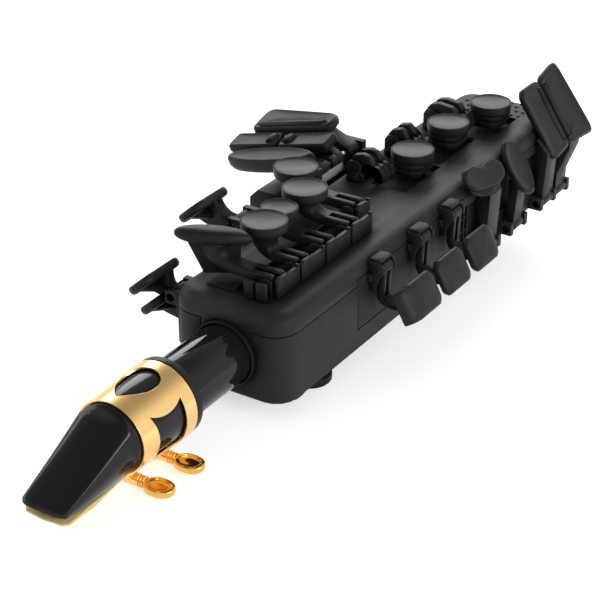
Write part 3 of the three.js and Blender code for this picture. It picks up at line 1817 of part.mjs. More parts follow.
function addTableBlock(rodStart, rodEnd) {
  const inside = bodySide + runningGap;
  const outside = bodySide + blockWidth;
  const section = (top, chamfer) =>
    shapeOf([
      [inside, blockBottomLift],
      [outside - blockChamfer, blockBottomLift],
      [outside, blockBottomLift + blockChamfer],
      [outside, top - chamfer],
      [outside - chamfer, top],
      [inside, top],
    ]);
  const carrierTop = bodyHeight - carrierDrop;
  const cheekTop = tablePivotZ + barrelRadius;
  const cheek = (x0, x1) =>
    joined(
      block(x0, x1, tablePivotY - cheekDepth, inside + cheekDepth, roof + seamGap, cheekTop),
      block(x0, x1, inside, inside + cheekDepth, carrierTop - cutOverrun, roof + 2 * seamGap),
    );
  const rodBack = rodStart - cheekThickness;
  const rodFront = rodEnd + cheekThickness;
  const whole = joined(
    profileX(section(bodyHeight + bossTopRise, blockChamfer), blockStartShare * bodyLength, rodStart),
    profileX(section(carrierTop, cheekDepth), rodBack, rodFront),
    cheek(rodBack, rodStart),
    cheek(rodEnd, rodFront),
  );
  const bore = barX(pinBoreRadius, rodBack - cutOverrun, rodFront + cutOverrun, tablePivotY, tablePivotZ);
  addFixed("table_key_block", without(whole, bore), finishes.key());
  const rod = barX(pinRadius, rodBack, rodFront, tablePivotY, tablePivotZ);
  addFixed("table_rod", rod, finishes.metal());
}

// Palm keys: a dished touch that faces up and outwards, flaring from an arm on the left wall
const palmOut = 13.2;
const palmLowOut = 12.7;
const palmDDrop = 4.6;
const palmEFlatDrop = 14;
const palmFRise = 9.6;
const palmKeys = [
  {
    name: "palm_d_key",
    pivotXShare: 0.068,
    pivotShare: 0.729,
    xShare: 0.054,
    out: palmOut,
    drop: palmDDrop,
  },
  {
    name: "palm_e_flat_key",
    pivotXShare: 0.1165,
    pivotShare: 0.4065,
    xShare: 0.0785,
    out: palmLowOut,
    drop: palmEFlatDrop,
  },
  {
    name: "palm_f_key",
    pivotXShare: 0.243,
    pivotShare: 1.097,
    xShare: 0.1955,
    out: palmOut,
    drop: -palmFRise,
  },
];
const bracketThickness = 1.6;
const palmPivotOut = bracketThickness + barrelRadius + 3 * runningGap;
const palmBarrelWidth = 7;
const palmLugReach = 2;
const palmLugLength = 2.2;
const palmLength = 21;
const palmWidth = 12;
const palmThickness = 2;
const palmDish = 1.1;
const palmRadius = 5.4;
const palmLean = THREE.MathUtils.degToRad(-42);
const palmKneeShare = 0.8;
const palmFlareShares = [0.2, 0.2, 0.24, 0.4, 0.62, 0.86];
const palmArmShare = 0.36;

function palmFlare(pivot, root, outline) {
  const knee = pivot.clone().lerp(root, palmKneeShare).setX(pivot.x);
  const path = new THREE.QuadraticBezierCurve3(pivot, knee, root);
  const axis = new THREE.Vector3(1, 0, 0);
  const rings = palmFlareShares.map((share, i) => {
    const along = i / (palmFlareShares.length - 1);
    const middle = path.getPoint(along);
    const narrow = palmArmShare * (1 - along) + share * along;
    return outline.map((p) =>
      new THREE.Vector3(p.x * share, p.y * narrow, 0).applyAxisAngle(axis, palmLean).add(middle),
    );
  });
  return solidOf(loft(rings));
}

function addPalmKeys() {
  const pivotY = bodySide + palmPivotOut;
  const outline = roundedRectangle(palmLength, palmWidth, palmRadius);
  palmKeys.forEach((key) => {
    const pivot = new THREE.Vector3(key.pivotXShare * bodyLength, pivotY, key.pivotShare * bodyHeight);
    const centre = new THREE.Vector3(key.xShare * bodyLength, bodySide + key.out, bodyHeight - key.drop);
    const touch = leaning(dishedPlate(outline, palmThickness, palmDish), palmLean, ...centre.toArray());
    const down = new THREE.Vector3(0, Math.sin(palmLean), -Math.cos(palmLean));
    const root = centre.addScaledVector(down, (palmThickness + palmDish) / 2);
    const half = palmBarrelWidth / 2;
    const reach = half + pinReach;
    const solid = joined(
      touch,
      palmFlare(pivot, root, outline),
      barX(barrelRadius, pivot.x - half, pivot.x + half, pivot.y, pivot.z),
      barX(pinRadius, pivot.x - reach, pivot.x + reach, pivot.y, pivot.z),
    );
    addHinged(key.name, solid, finishes.key(), pivotGroup(pivot.x, pivot.y, pivot.z));
  });
  addPalmBracket(pivotY);
}

// Bracket of the palm keys: a plate on the left wall with a pair of lugs for each key
const bracketDrop = 3;
const bracketBarWidth = 6;

function addPalmBracket(pivotY) {
  const inner = palmBarrelWidth / 2 + runningGap;
  const outer = inner + palmLugLength;
  const wall = bodySide + runningGap;
  const [low, middle, high] = palmKeys.map((key) => ({
    x: key.pivotXShare * bodyLength,
    z: key.pivotShare * bodyHeight,
  }));
  const lugs = [low, middle, high].map((place) => {
    const lug = (x0, x1) =>
      block(x0, x1, wall, pivotY + palmLugReach, place.z - barrelRadius, place.z + barrelRadius);
    return joined(lug(place.x - outer, place.x - inner), lug(place.x + inner, place.x + outer));
  });
  const bores = [low, middle, high].map((place) =>
    barX(pinBoreRadius, place.x - outer - cutOverrun, place.x + outer + cutOverrun, pivotY, place.z),
  );
  const bottom = middle.z - barrelRadius - bracketDrop;
  const plate = profileY(
    shapeOf([
      [low.x - outer, bottom],
      [high.x + outer, bottom],
      [high.x + outer, high.z + barrelRadius],
      [high.x - outer, high.z + barrelRadius],
      [high.x - outer, bottom + bracketBarWidth],
      [middle.x + outer, bottom + bracketBarWidth],
      [middle.x + outer, low.z + barrelRadius],
      [low.x - outer, low.z + barrelRadius],
    ]),
    wall,
    wall + bracketThickness,
  );
  addFixed("palm_key_bracket", without(joined(plate, ...lugs), ...bores), finishes.key());
}

// Underside: thumb rest, octave key, strap ring and thumb hook
const thumbRestXShare = 0.162;
const thumbRestYShare = -0.48;
const thumbRestRadius = 7.6;
const thumbRestDrop = 8;
const thumbRestRim = 2.8;
const thumbRestStem = 4.6;
const octaveLength = 15;
const octaveWidth = 9;
const octaveXShare = 0.091;
const octaveYShare = -0.42;
const octaveThickness = 2.4;
const octaveRadius = 3;
const hookXShare = 0.68;
const hookWidth = 13;
const hookHalfBase = 11;
const hookDrop = 14;
const hookWall = 2.4;
const ringXShare = 0.42;
const ringRadius = 5.4;
const ringHole = 3.3;
const ringThickness = 3;
const ringFootHalfLength = 7;
const ringFootHalfWidth = 3.5;
const ringFootHeight = 1.4;

function addThumbRest() {
  const rest = turnedZ(
    [
      [0, -thumbRestDrop],
      [thumbRestRadius - cupTaper, -thumbRestDrop],
      [thumbRestRadius, cupTaper - thumbRestDrop],
      [thumbRestRadius, thumbRestRim - thumbRestDrop],
      [thumbRestStem, thumbRestRim + cupTaper - thumbRestDrop],
      [thumbRestStem, -runningGap],
      [0, -runningGap],
    ],
    thumbRestXShare * bodyLength,
    thumbRestYShare * bodySide,
  );
  addFixed("thumb_rest", rest, finishes.key());
}

function addOctaveKey() {
  const pivotX = octavePivotXShare * bodyLength;
  const pivotY = octavePivotYShare * bodySide;
  const plateY = octaveYShare * bodySide;
  const low = -octaveDrop - octaveThickness;
  const rimTop = low + octaveThickness / 3;
  const outline = roundedRectangle(octaveWidth, octaveLength, octaveRadius);
  const rings = [
    ringAt(outline, plateRimShare, low),
    ringAt(outline, 1, rimTop),
    ringAt(outline, 1, -octaveDrop),
  ];
  const plate = solidOf(loft(rings).translate(octaveXShare * bodyLength, plateY, 0));
  const half = octaveArmWidth / 2;
  const reach = half + pinReach;
  const octave = joined(
    plate,
    block(pivotX - half, pivotX + half, plateY, pivotY, rimTop, -octaveDrop),
    barX(barrelRadius, pivotX - half, pivotX + half, pivotY, -octaveDrop),
    barX(pinRadius, pivotX - reach, pivotX + reach, pivotY, -octaveDrop),
  );
  addHinged("octave_key", octave, finishes.key(), pivotGroup(pivotX, pivotY, -octaveDrop));
}

function addThumbHook() {
  const hookX = hookXShare * bodyLength;
  const top = -runningGap;
  const shape = shapeOf([
    [-hookHalfBase, top],
    [hookHalfBase, top],
    [hookHalfBase, -hookDrop],
    [-hookHalfBase, -hookDrop],
    [-hookHalfBase, hookWall - hookDrop],
    [hookHalfBase - hookWall, hookWall - hookDrop],
    [hookHalfBase - hookWall, top - hookWall],
    [-hookHalfBase, top - hookWall],
  ]);
  const hook = profileX(shape, hookX - hookWidth / 2, hookX + hookWidth / 2);
  addFixed("thumb_hook", hook, finishes.key());
}

function addStrapRing() {
  const x = ringXShare * bodyLength;
  const z = -runningGap - ringRadius;
  const foot = block(
    x - ringFootHalfLength,
    x + ringFootHalfLength,
    -ringFootHalfWidth,
    ringFootHalfWidth,
    -runningGap - ringFootHeight,
    -runningGap,
  );
  const eye = barY(ringRadius, -ringThickness / 2, ringThickness / 2, x, z);
  const hole = barY(ringHole, -bodySide, bodySide, x, z);
  addFixed("strap_ring", without(joined(foot, eye), hole), finishes.metal());
}

// Inside the body: circuit board, battery, speaker, breath sensor and USB socket
const batteryStartShare = 0.42;
const batteryLength = 58;
const batteryWidth = 30;
const batteryHeight = 8;
const speakerRadius = 10.4;
const speakerMagnetRadius = 6.5;
const speakerDepth = 6;
const speakerRim = 1.6;
const sensorWidth = 10;
const sensorHeight = 9;
const boardEndShare = 0.89;

function addInside() {
  const boardStart = boardStartShare * bodyLength;
  const boardHalf = bodySide - wallThickness - boardMargin;
  const boardEnd = boardEndShare * bodyLength;
  const board = block(boardStart, boardEnd, -boardHalf, boardHalf, boardLift, boardLift + boardThickness);
  addFixed("circuit_board", board, finishes.board());

  const sensor = block(
    collarFront + collarLength + airTubeLength + runningGap,
    boardStart - runningGap,
    -sensorWidth / 2,
    sensorWidth / 2,
    boreHeight - sensorHeight / 2,
    boreHeight + sensorHeight / 2,
  );
  addFixed("breath_sensor", sensor, finishes.cell());

  const batteryX = batteryStartShare * bodyLength;
  const floor = wallThickness + runningGap;
  const battery = block(
    batteryX,
    batteryX + batteryLength,
    -batteryWidth / 2,
    batteryWidth / 2,
    floor,
    floor + batteryHeight,
  );
  addFixed("battery", battery, finishes.cell());

  const ceiling = bodyHeight - roofThickness - runningGap;
  const speaker = turnedZ(
    [
      [0, ceiling - speakerDepth],
      [speakerMagnetRadius, ceiling - speakerDepth],
      [speakerMagnetRadius, ceiling - speakerDepth / 2],
      [speakerRadius, ceiling - speakerRim],
      [speakerRadius, ceiling],
      [0, ceiling],
    ],
    speakerXShare * bodyLength,
    speakerYShare * bodySide,
  );
  addFixed("speaker", speaker, finishes.metal());

  const back = bodyLength - usbDepth;
  const half = usbWidth / 2;
  const usb = without(
    block(back, bodyLength, -half, half, usbLift, usbLift + usbHeight),
    block(
      back + usbWall,
      bodyLength + cutOverrun,
      usbWall - half,
      half - usbWall,
      usbLift + usbWall,
      usbLift + usbHeight - usbWall,
    ),
  );
  addFixed("usb_socket", usb, finishes.metal());
}

const longLevers = [...sharpLeverKeys(), ...littleFingerKeys()];
const leverStrokes = longLevers.flatMap(strokeOf);

addShells(leverStrokes);
addSocket();
addMouthpiece();
addLeftRail();
addFrontKey();
addLeftKeys();
addRightKeys();
addSidePanel(leverStrokes);
addSideKeys();
addLevers(longLevers);
addTableKeys();
addPalmKeys();
addThumbRest();
addOctaveKey();
addThumbHook();
addStrapRing();
addInside();

placed.position.x = -bodyLength / 2;

export default controller;
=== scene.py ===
"""Looks of a digital wind controller: an electronic saxophone with a box-shaped body,
sprung keys, rollers, pearl touches, an alto-size mouthpiece, a reed and a gold ligature.
Metres; x runs along the body to its far end, y to the player's left, z up."""

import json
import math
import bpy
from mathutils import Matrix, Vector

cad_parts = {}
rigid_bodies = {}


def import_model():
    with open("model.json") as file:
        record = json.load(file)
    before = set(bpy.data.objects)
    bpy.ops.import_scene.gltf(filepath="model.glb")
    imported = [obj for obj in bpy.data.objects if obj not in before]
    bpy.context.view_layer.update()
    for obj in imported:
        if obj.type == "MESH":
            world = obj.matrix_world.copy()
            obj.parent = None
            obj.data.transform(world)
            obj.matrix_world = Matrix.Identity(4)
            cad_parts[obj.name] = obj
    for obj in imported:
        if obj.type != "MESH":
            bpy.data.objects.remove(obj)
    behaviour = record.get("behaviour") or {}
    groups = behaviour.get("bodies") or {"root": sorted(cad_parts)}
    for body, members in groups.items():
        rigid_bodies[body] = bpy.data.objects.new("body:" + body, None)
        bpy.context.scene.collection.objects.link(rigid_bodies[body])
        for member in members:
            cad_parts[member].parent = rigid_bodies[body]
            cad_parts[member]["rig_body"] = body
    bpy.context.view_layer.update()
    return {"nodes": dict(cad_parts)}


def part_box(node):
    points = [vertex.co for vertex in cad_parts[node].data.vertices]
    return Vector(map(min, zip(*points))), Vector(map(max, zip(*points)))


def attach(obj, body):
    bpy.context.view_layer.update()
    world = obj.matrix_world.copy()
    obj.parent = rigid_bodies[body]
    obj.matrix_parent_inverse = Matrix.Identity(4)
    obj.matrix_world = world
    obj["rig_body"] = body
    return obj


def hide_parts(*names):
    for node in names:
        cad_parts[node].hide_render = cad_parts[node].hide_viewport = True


bl_info = {
    "name": "Digital wind controller",
    "version": (1, 0, 0),
    "blender": (4, 5, 0),
    "location": "3D View > Sidebar > Controller",
    "description": "Shells, keys, mouthpiece, ligature and stage of a digital wind controller",
    "category": "Object",
}

import bmesh
import bpy
from mathutils import Matrix, Vector

for start_object in list(bpy.data.objects):
    bpy.data.objects.remove(start_object)


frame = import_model()

MM = 0.001
BODY_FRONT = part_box("top_shell")[0].x
BORE_HEIGHT = 14.3 * MM
FULL_TURN = 2 * math.pi
SHARP_ANGLE = math.radians(38)


def body_point(x, y, z):
    """A point given in millimetres from the body's front face."""
    return Vector((BODY_FRONT + x * MM, y * MM, z * MM))


# Sizes and colours that a user would change


class ControllerFinish(bpy.types.PropertyGroup):
    """Colours and surface texture."""

    shell_colour: bpy.props.FloatVectorProperty(
        name="Shell", description="Colour of the body shells", subtype="COLOR", size=3,
        min=0, max=1, default=(0.0185, 0.019, 0.0205),
    )
    key_colour: bpy.props.FloatVectorProperty(
        name="Keys", description="Colour of keys and their supports", subtype="COLOR", size=3,
        min=0, max=1, default=(0.0128, 0.0131, 0.0142),
    )
    pearl_colour: bpy.props.FloatVectorProperty(
        name="Pearls", description="Colour of the round finger touches", subtype="COLOR", size=3,
        min=0, max=1, default=(0.0205, 0.021, 0.0225),
    )
    ebonite_colour: bpy.props.FloatVectorProperty(
        name="Mouthpiece", description="Colour of the polished mouthpiece", subtype="COLOR",
        size=3, min=0, max=1, default=(0.0085, 0.0085, 0.0095),
    )
    gold_colour: bpy.props.FloatVectorProperty(
        name="Ligature", description="Colour of the plated band", subtype="COLOR", size=3,
        min=0, max=1, default=(0.93, 0.6, 0.24),
    )
    screw_colour: bpy.props.FloatVectorProperty(
        name="Screws", description="Colour of the plated screws", subtype="COLOR", size=3,
        min=0, max=1, default=(0.78, 0.46, 0.12),
    )
    cane_colour: bpy.props.FloatVectorProperty(
        name="Reed", description="Colour of the cane", subtype="COLOR", size=3,
        min=0, max=1, default=(0.86, 0.7, 0.28),
    )
    grain_size: bpy.props.FloatProperty(
        name="Grain", description="Size of the moulded grain", unit="LENGTH", min=0,
        default=0.35 * MM,
    )
    edge_radius: bpy.props.FloatProperty(
        name="Edge radius", description="Rounding of moulded edges", unit="LENGTH", min=0,
        default=0.22 * MM,
    )


class ControllerMouthpiece(bpy.types.PropertyGroup):
    """Sizes of the mouthpiece and its reed."""

    tip_reach: bpy.props.FloatProperty(
        name="Tip reach", description="Distance of the tip from the body's front face",
        unit="LENGTH", default=89.6 * MM,
    )
    barrel_radius: bpy.props.FloatProperty(
        name="Barrel radius", description="Radius where the beak starts", unit="LENGTH",
        default=11.4 * MM,
    )
    tip_half_width: bpy.props.FloatProperty(
        name="Tip half width", description="Half the width of the tip", unit="LENGTH",
        default=7.8 * MM,
    )


class ControllerTouches(bpy.types.PropertyGroup):
    """Sizes of the round finger touches."""

    rim_width: bpy.props.FloatProperty(
        name="Rim", description="Width of the cup's rim round a pearl", unit="LENGTH",
        default=0.35 * MM,
    )
    dish_depth: bpy.props.FloatProperty(
        name="Dish", description="Depth of the hollow in a pearl", unit="LENGTH",
        default=0.75 * MM,
    )


class ControllerStage(bpy.types.PropertyGroup):
    """Camera, lamps and floor."""

    lens: bpy.props.FloatProperty(
        name="Lens", description="Focal length of the camera", subtype="DISTANCE_CAMERA",
        min=1, default=106.746,
    )
    lamp_power: bpy.props.FloatProperty(
        name="Lamp power", description="Power of the large soft lamp", unit="POWER", min=0,
        default=8,
    )
    sky_strength: bpy.props.FloatProperty(
        name="Sky", description="Strength of the even light all round", min=0, default=0.45,
    )


# Shader node groups


def node_group(name, inputs, outputs):
    """An empty shader group with named float or vector sockets."""
    made = bpy.data.node_groups.new(name, "ShaderNodeTree")
    for socket, kind, value in inputs:
        item = made.interface.new_socket(socket, in_out="INPUT", socket_type=kind)
        if value is not None:
            item.default_value = value
    for socket, kind in outputs:
        made.interface.new_socket(socket, in_out="OUTPUT", socket_type=kind)
    start = made.nodes.new("NodeGroupInput")
    end = made.nodes.new("NodeGroupOutput")
    return made, start, end


def add(tree, kind, **values):
    """A node with its properties, and its unlinked inputs by name."""
    made = tree.nodes.new(kind)
    for key, value in values.items():
        if hasattr(made, key):
            setattr(made, key, value)
        else:
            made.inputs[key.replace("_", " ")].default_value = value
    return made


def maths(tree, operation, first, second=None, clamp=False):
    """A Math node on sockets or plain numbers; returns its output."""
    made = tree.nodes.new("ShaderNodeMath")
    made.operation = operation
    made.use_clamp = clamp
    for place, value in enumerate((first, second)):
        if value is None:
            continue
        if isinstance(value, (int, float)):
            made.inputs[place].default_value = value
        else:
            tree.links.new(value, made.inputs[place])
    return made.outputs[0]


def noise(tree, vector, **values):
    """A noise over a coordinate; returns its value."""
    made = add(tree, "ShaderNodeTexNoise", **values)
    tree.links.new(vector, made.inputs["Vector"])
    return made.outputs["Fac"]


def bumped(tree, surface, height, depth, normal=None):
    """Fine relief on a surface, over rounded normals where they are given."""
    bump = add(tree, "ShaderNodeBump", Distance=depth)
    tree.links.new(height, bump.inputs["Height"])
    if normal is not None:
        tree.links.new(normal, bump.inputs["Normal"])
    tree.links.new(bump.outputs["Normal"], surface.inputs["Normal"])


def make_grain():
    """Fine spark-eroded grain of a moulded surface."""
    made, start, end = node_group(
        "Moulded grain",
        [("Size", "NodeSocketFloat", 0.0004)],
        [("Height", "NodeSocketFloat"), ("Tone", "NodeSocketFloat")],
    )
    place = add(made, "ShaderNodeTexCoord").outputs["Object"]
    fine = noise(made, place, Detail=3.0, Roughness=0.6)
    broad = noise(made, place, Detail=2.0, Roughness=0.5, Scale=55.0)
    made.links.new(maths(made, "DIVIDE", 1.0, start.outputs["Size"]), fine.node.inputs["Scale"])
    made.links.new(fine, end.inputs["Height"])
    mixed = maths(made, "MULTIPLY", fine, 0.45)
    rest = maths(made, "MULTIPLY", broad, 0.55)
    made.links.new(maths(made, "ADD", mixed, rest), end.inputs["Tone"])
    return made


def make_edges():
    """Rounded normals at edges, and a patchy mask of the edges that makes them glossier and
    lightens their colour as a painted highlight.
    """
    made, start, end = node_group(
        "Rounded edges and painted highlight",
        [("Radius", "NodeSocketFloat", 0.0003)],
        [("Normal", "NodeSocketVector"), ("Mask", "NodeSocketFloat")],
    )
    rounded = add(made, "ShaderNodeBevel", samples=6)
    made.links.new(start.outputs["Radius"], rounded.inputs["Radius"])
    flat = add(made, "ShaderNodeNewGeometry")
    turn = add(made, "ShaderNodeVectorMath", operation="DOT_PRODUCT")
    made.links.new(rounded.outputs["Normal"], turn.inputs[0])
    made.links.new(flat.outputs["Normal"], turn.inputs[1])
    bend = maths(made, "SUBTRACT", 1.0, turn.outputs["Value"], clamp=True)
    place = add(made, "ShaderNodeTexCoord").outputs["Object"]
    patchy = noise(made, place, Scale=420.0, Detail=2.0)
    mask = maths(made, "MULTIPLY", maths(made, "MULTIPLY", bend, 4.0), patchy, clamp=True)
    made.links.new(rounded.outputs["Normal"], end.inputs["Normal"])
    made.links.new(mask, end.inputs["Mask"])
    return made


def make_painted_shade():
    """Mask from ambient occlusion, made patchy by a noise, that darkens the colour in creases and
    corners as painted shade.
    """
    made, start, end = node_group(
        "Painted crevice shade",
        [("Reach", "NodeSocketFloat", 0.006)],
        [("Mask", "NodeSocketFloat")],
    )
    shut = add(made, "ShaderNodeAmbientOcclusion", samples=8)
    made.links.new(start.outputs["Reach"], shut.inputs["Distance"])
    closed = maths(made, "SUBTRACT", 1.0, shut.outputs["AO"], clamp=True)
    place = add(made, "ShaderNodeTexCoord").outputs["Object"]
    patchy = noise(made, place, Scale=160.0, Detail=3.0)
    uneven = maths(made, "ADD", maths(made, "MULTIPLY", patchy, 0.5), 1.15)
    made.links.new(maths(made, "MULTIPLY", closed, uneven, clamp=True), end.inputs["Mask"])
    return made


def make_dust():
    """Faint settled dust and finger marks, more on faces that look up."""
    made, start, end = node_group(
        "Dust and marks",
        [("Amount", "NodeSocketFloat", 0.3)],
        [("Mask", "NodeSocketFloat")],
    )
    place = add(made, "ShaderNodeTexCoord")
    parts = add(made, "ShaderNodeSeparateXYZ")
    made.links.new(place.outputs["Normal"], parts.inputs["Vector"])
    up = maths(made, "MULTIPLY_ADD", parts.outputs["Z"], 0.5)
    up.node.inputs[2].default_value = 0.5
    cloudy = noise(made, place.outputs["Object"], Scale=38.0, Detail=4.0, Roughness=0.65)
    specks = noise(made, place.outputs["Object"], Scale=900.0, Detail=1.0)
    cloud = maths(made, "MULTIPLY", maths(made, "SUBTRACT", cloudy, 0.42), 3.0, clamp=True)
    speck = maths(made, "GREATER_THAN", specks, 0.66)
    both = maths(made, "ADD", cloud, maths(made, "MULTIPLY", speck, 0.4), clamp=True)
    shown = maths(made, "MULTIPLY", maths(made, "MULTIPLY", both, up), start.outputs["Amount"])
    made.links.new(shown, end.inputs["Mask"])
    return made


def make_polish():
    """Fine lines stretched one way: polishing marks on plate, or the fibres of cane."""
    made, start, end = node_group(
        "Polishing lines",
        [("Stretch", "NodeSocketVector", None)],
        [("Height", "NodeSocketFloat"), ("Tone", "NodeSocketFloat")],
    )
    place = add(made, "ShaderNodeTexCoord")
    pulled = add(made, "ShaderNodeVectorMath", operation="MULTIPLY")
    made.links.new(place.outputs["Object"], pulled.inputs[0])
    made.links.new(start.outputs["Stretch"], pulled.inputs[1])
    lines = noise(made, pulled.outputs["Vector"], Scale=1.0, Detail=3.0, Roughness=0.7)
    cloudy = noise(made, place.outputs["Object"], Scale=90.0, Detail=2.0)
    made.links.new(lines, end.inputs["Height"])
    made.links.new(cloudy, end.inputs["Tone"])
    return made


def shader_groups():
    """The groups that the materials share, built once."""
    makers = {
        "Moulded grain": make_grain,
        "Rounded edges and painted highlight": make_edges,
        "Painted crevice shade": make_painted_shade,
        "Dust and marks": make_dust,
        "Polishing lines": make_polish,
    }
    return {name: bpy.data.node_groups.get(name) or make() for name, make in makers.items()}


def blank_material(name):
    """A material with its Principled BSDF, and a helper that places a shared group in it."""
    made = bpy.data.materials.new(name)
    made.use_nodes = True
    tree = made.node_tree
    surface = tree.nodes["Principled BSDF"]

    def place(group, **values):
        node = tree.nodes.new("ShaderNodeGroup")
        node.node_tree = shader_groups()[group]
        for key, value in values.items():
            node.inputs[key].default_value = value
        return node

    return made, tree, surface, place


def mix_colour(tree, mask, low, high):
    """Colour that goes from low to high with the mask."""
    made = tree.nodes.new("ShaderNodeMix")
    made.data_type = "RGBA"
    tree.links.new(mask, made.inputs["Factor"])
    for socket, value in (("A", low), ("B", high)):
        target = [s for s in made.inputs if s.name == socket and s.type == "RGBA"][0]
        if hasattr(value, "links"):
            tree.links.new(value, target)
        else:
            target.default_value = (*value, 1)
    return [s for s in made.outputs if s.type == "RGBA"][0]


def value_range(tree, value, low, high):
    """Maps 0..1 to low..high."""
    made = tree.nodes.new("ShaderNodeMapRange")
    made.inputs["To Min"].default_value = low
    made.inputs["To Max"].default_value = high
    tree.links.new(value, made.inputs["Value"])
    return made.outputs["Result"]


DUST_COLOUR = (0.16, 0.155, 0.15)
DUST_AMOUNT = 0.1
# How far the painted shade in corners reaches, the share of the colour that it leaves there, and
# how far the painted highlight on edges lightens the colour
SHADE_REACH = 5 * MM
PAINTED_SHADE_SHARE, HIGHLIGHT_SHARE = 0.12, 4.2


def moulded_plastic(name, colour, rough, grain, depth):
    """Matte moulded plastic with grain, a little dust, glossier edges with a painted highlight, and
    painted shade in corners.
    """
    looks = bpy.context.scene.controller_finish
    made, tree, surface, place = blank_material(name)
    surface.inputs["Specular IOR Level"].default_value = 0.14
    texture = place("Moulded grain", Size=grain)
    edges = place("Rounded edges and painted highlight", Radius=looks.edge_radius)
    dusty = place("Dust and marks", Amount=DUST_AMOUNT)
    painted_shade = place("Painted crevice shade", Reach=SHADE_REACH)
    dark = tuple(c * 0.82 for c in colour)
    light = tuple(c * 1.18 for c in colour)
    # Edge colour lightened as a painted highlight
    painted_highlight = tuple(min(1, c * HIGHLIGHT_SHARE) for c in colour)
    tone = mix_colour(tree, texture.outputs["Tone"], dark, light)
    highlighted = mix_colour(tree, edges.outputs["Mask"], tone, painted_highlight)
    dusted = mix_colour(tree, dusty.outputs["Mask"], highlighted, DUST_COLOUR)
    # Colour darkened in corners and creases by ambient occlusion: painted shade
    deep = mix_colour(tree, painted_shade.outputs["Mask"], dusted, tuple(c * PAINTED_SHADE_SHARE for c in colour))
    tree.links.new(deep, surface.inputs["Base Color"])
    shine = value_range(tree, texture.outputs["Tone"], rough - 0.06, rough + 0.08)
    polished = maths(tree, "MULTIPLY", edges.outputs["Mask"], 0.12)
    shaded = maths(tree, "ADD", shine, maths(tree, "MULTIPLY", painted_shade.outputs["Mask"], 0.3))
    shine = maths(tree, "SUBTRACT", shaded, polished, clamp=True)
    tree.links.new(shine, surface.inputs["Roughness"])
    bumped(tree, surface, texture.outputs["Height"], depth, edges.outputs["Normal"])
    return made


def polished_ebonite(name, colour):
    """Hard rubber buffed to a mirror, with faint swirl marks."""
    made, tree, surface, place = blank_material(name)
    texture = place("Moulded grain", Size=0.006)
    marks = place("Dust and marks", Amount=0.25)
    tone = mix_colour(tree, texture.outputs["Tone"], colour, tuple(c * 1.5 for c in colour))
    tree.links.new(tone, surface.inputs["Base Color"])
    rough = value_range(tree, marks.outputs["Mask"], 0.045, 0.2)
    tree.links.new(rough, surface.inputs["Roughness"])
    surface.inputs["Specular IOR Level"].default_value = 0.22
    bumped(tree, surface, texture.outputs["Height"], 0.004 * MM)
    return made


def plated_metal(name, colour, rough, stretch, depth):
    """Plated metal with fine polishing lines."""
    made, tree, surface, place = blank_material(name)
    lines = place("Polishing lines", Stretch=stretch)
    edges = place("Rounded edges and painted highlight", Radius=0.15 * MM)
    pale = tuple(min(1, c * 1.08) for c in colour)
    deep = tuple(c * 0.9 for c in colour)
    tone = mix_colour(tree, lines.outputs["Tone"], deep, pale)
    tree.links.new(tone, surface.inputs["Base Color"])
    surface.inputs["Metallic"].default_value = 1.0
    shine = value_range(tree, lines.outputs["Height"], rough - 0.05, rough + 0.07)
    tree.links.new(shine, surface.inputs["Roughness"])
    bumped(tree, surface, lines.outputs["Height"], depth, edges.outputs["Normal"])
    return made


def cane(name, colour):
    """Reed cane: long fibres along x with darker pores."""
    made, tree, surface, place = blank_material(name)
    fibres = place("Polishing lines", Stretch=(60.0, 4200.0, 4200.0))
    pale = tuple(min(1, c * 1.15) for c in colour)
    deep = tuple(c * 0.62 for c in colour)
    streak = value_range(tree, fibres.outputs["Height"], -0.6, 1.6)
    tree.links.new(mix_colour(tree, streak, deep, pale), surface.inputs["Base Color"])
    surface.inputs["Subsurface Weight"].default_value = 0.08
    surface.inputs["Subsurface Scale"].default_value = 0.6 * MM
    shine = value_range(tree, fibres.outputs["Height"], 0.45, 0.62)
    tree.links.new(shine, surface.inputs["Roughness"])
    bumped(tree, surface, fibres.outputs["Height"], 0.05 * MM)
    return made


def finish(name):
    """One of the object's materials, made the first time that it is asked for."""
    found = bpy.data.materials.get(name)
    if found:
        return found
    looks = bpy.context.scene.controller_finish
    # Colour, roughness, size of the grain against the usual one, depth of the grain in mm
    plastics = {
        "shell plastic": (looks.shell_colour, 0.5, 1, 0.02),
        "key plastic": (looks.key_colour, 0.42, 0.8, 0.012),
        "pearl plastic": (looks.pearl_colour, 0.36, 1, 0.01),
        # Darker plastic: painted shade on the rail floor, the cup feet and the lever cage
        "dark plastic and painted shade": ((0.008, 0.008, 0.009), 0.6, 1, 0.02),
        "satin ebonite": ((0.012, 0.012, 0.014), 0.33, 0.5, 0.006),
        "solder mask": ((0.01, 0.09, 0.035), 0.3, 3, 0.03),
        "cell wrap": ((0.05, 0.08, 0.16), 0.28, 2, 0.01),
    }
    # Colour, roughness, stretch of the polishing lines, their depth in mm
    metals = {
        "gold plate": (looks.gold_colour, 0.2, (4000.0, 120.0, 120.0), 0.01),
        "screw plate": (looks.screw_colour, 0.12, (900.0, 900.0, 900.0), 0.004),
        "nickel": ((0.62, 0.62, 0.6), 0.24, (300.0, 4000.0, 4000.0), 0.01),
    }
    if name in plastics:
        colour, rough, share, depth = plastics[name]
        return moulded_plastic(name, colour, rough, looks.grain_size * share, depth * MM)
    if name in metals:
        colour, rough, stretch, depth = metals[name]
        return plated_metal(name, colour, rough, stretch, depth * MM)
    if name == "polished ebonite":
        return polished_ebonite(name, looks.ebonite_colour)
    if name == "reed cane":
        return cane(name, looks.cane_colour)
    raise ValueError("no material is named " + name)


# Shaping helpers


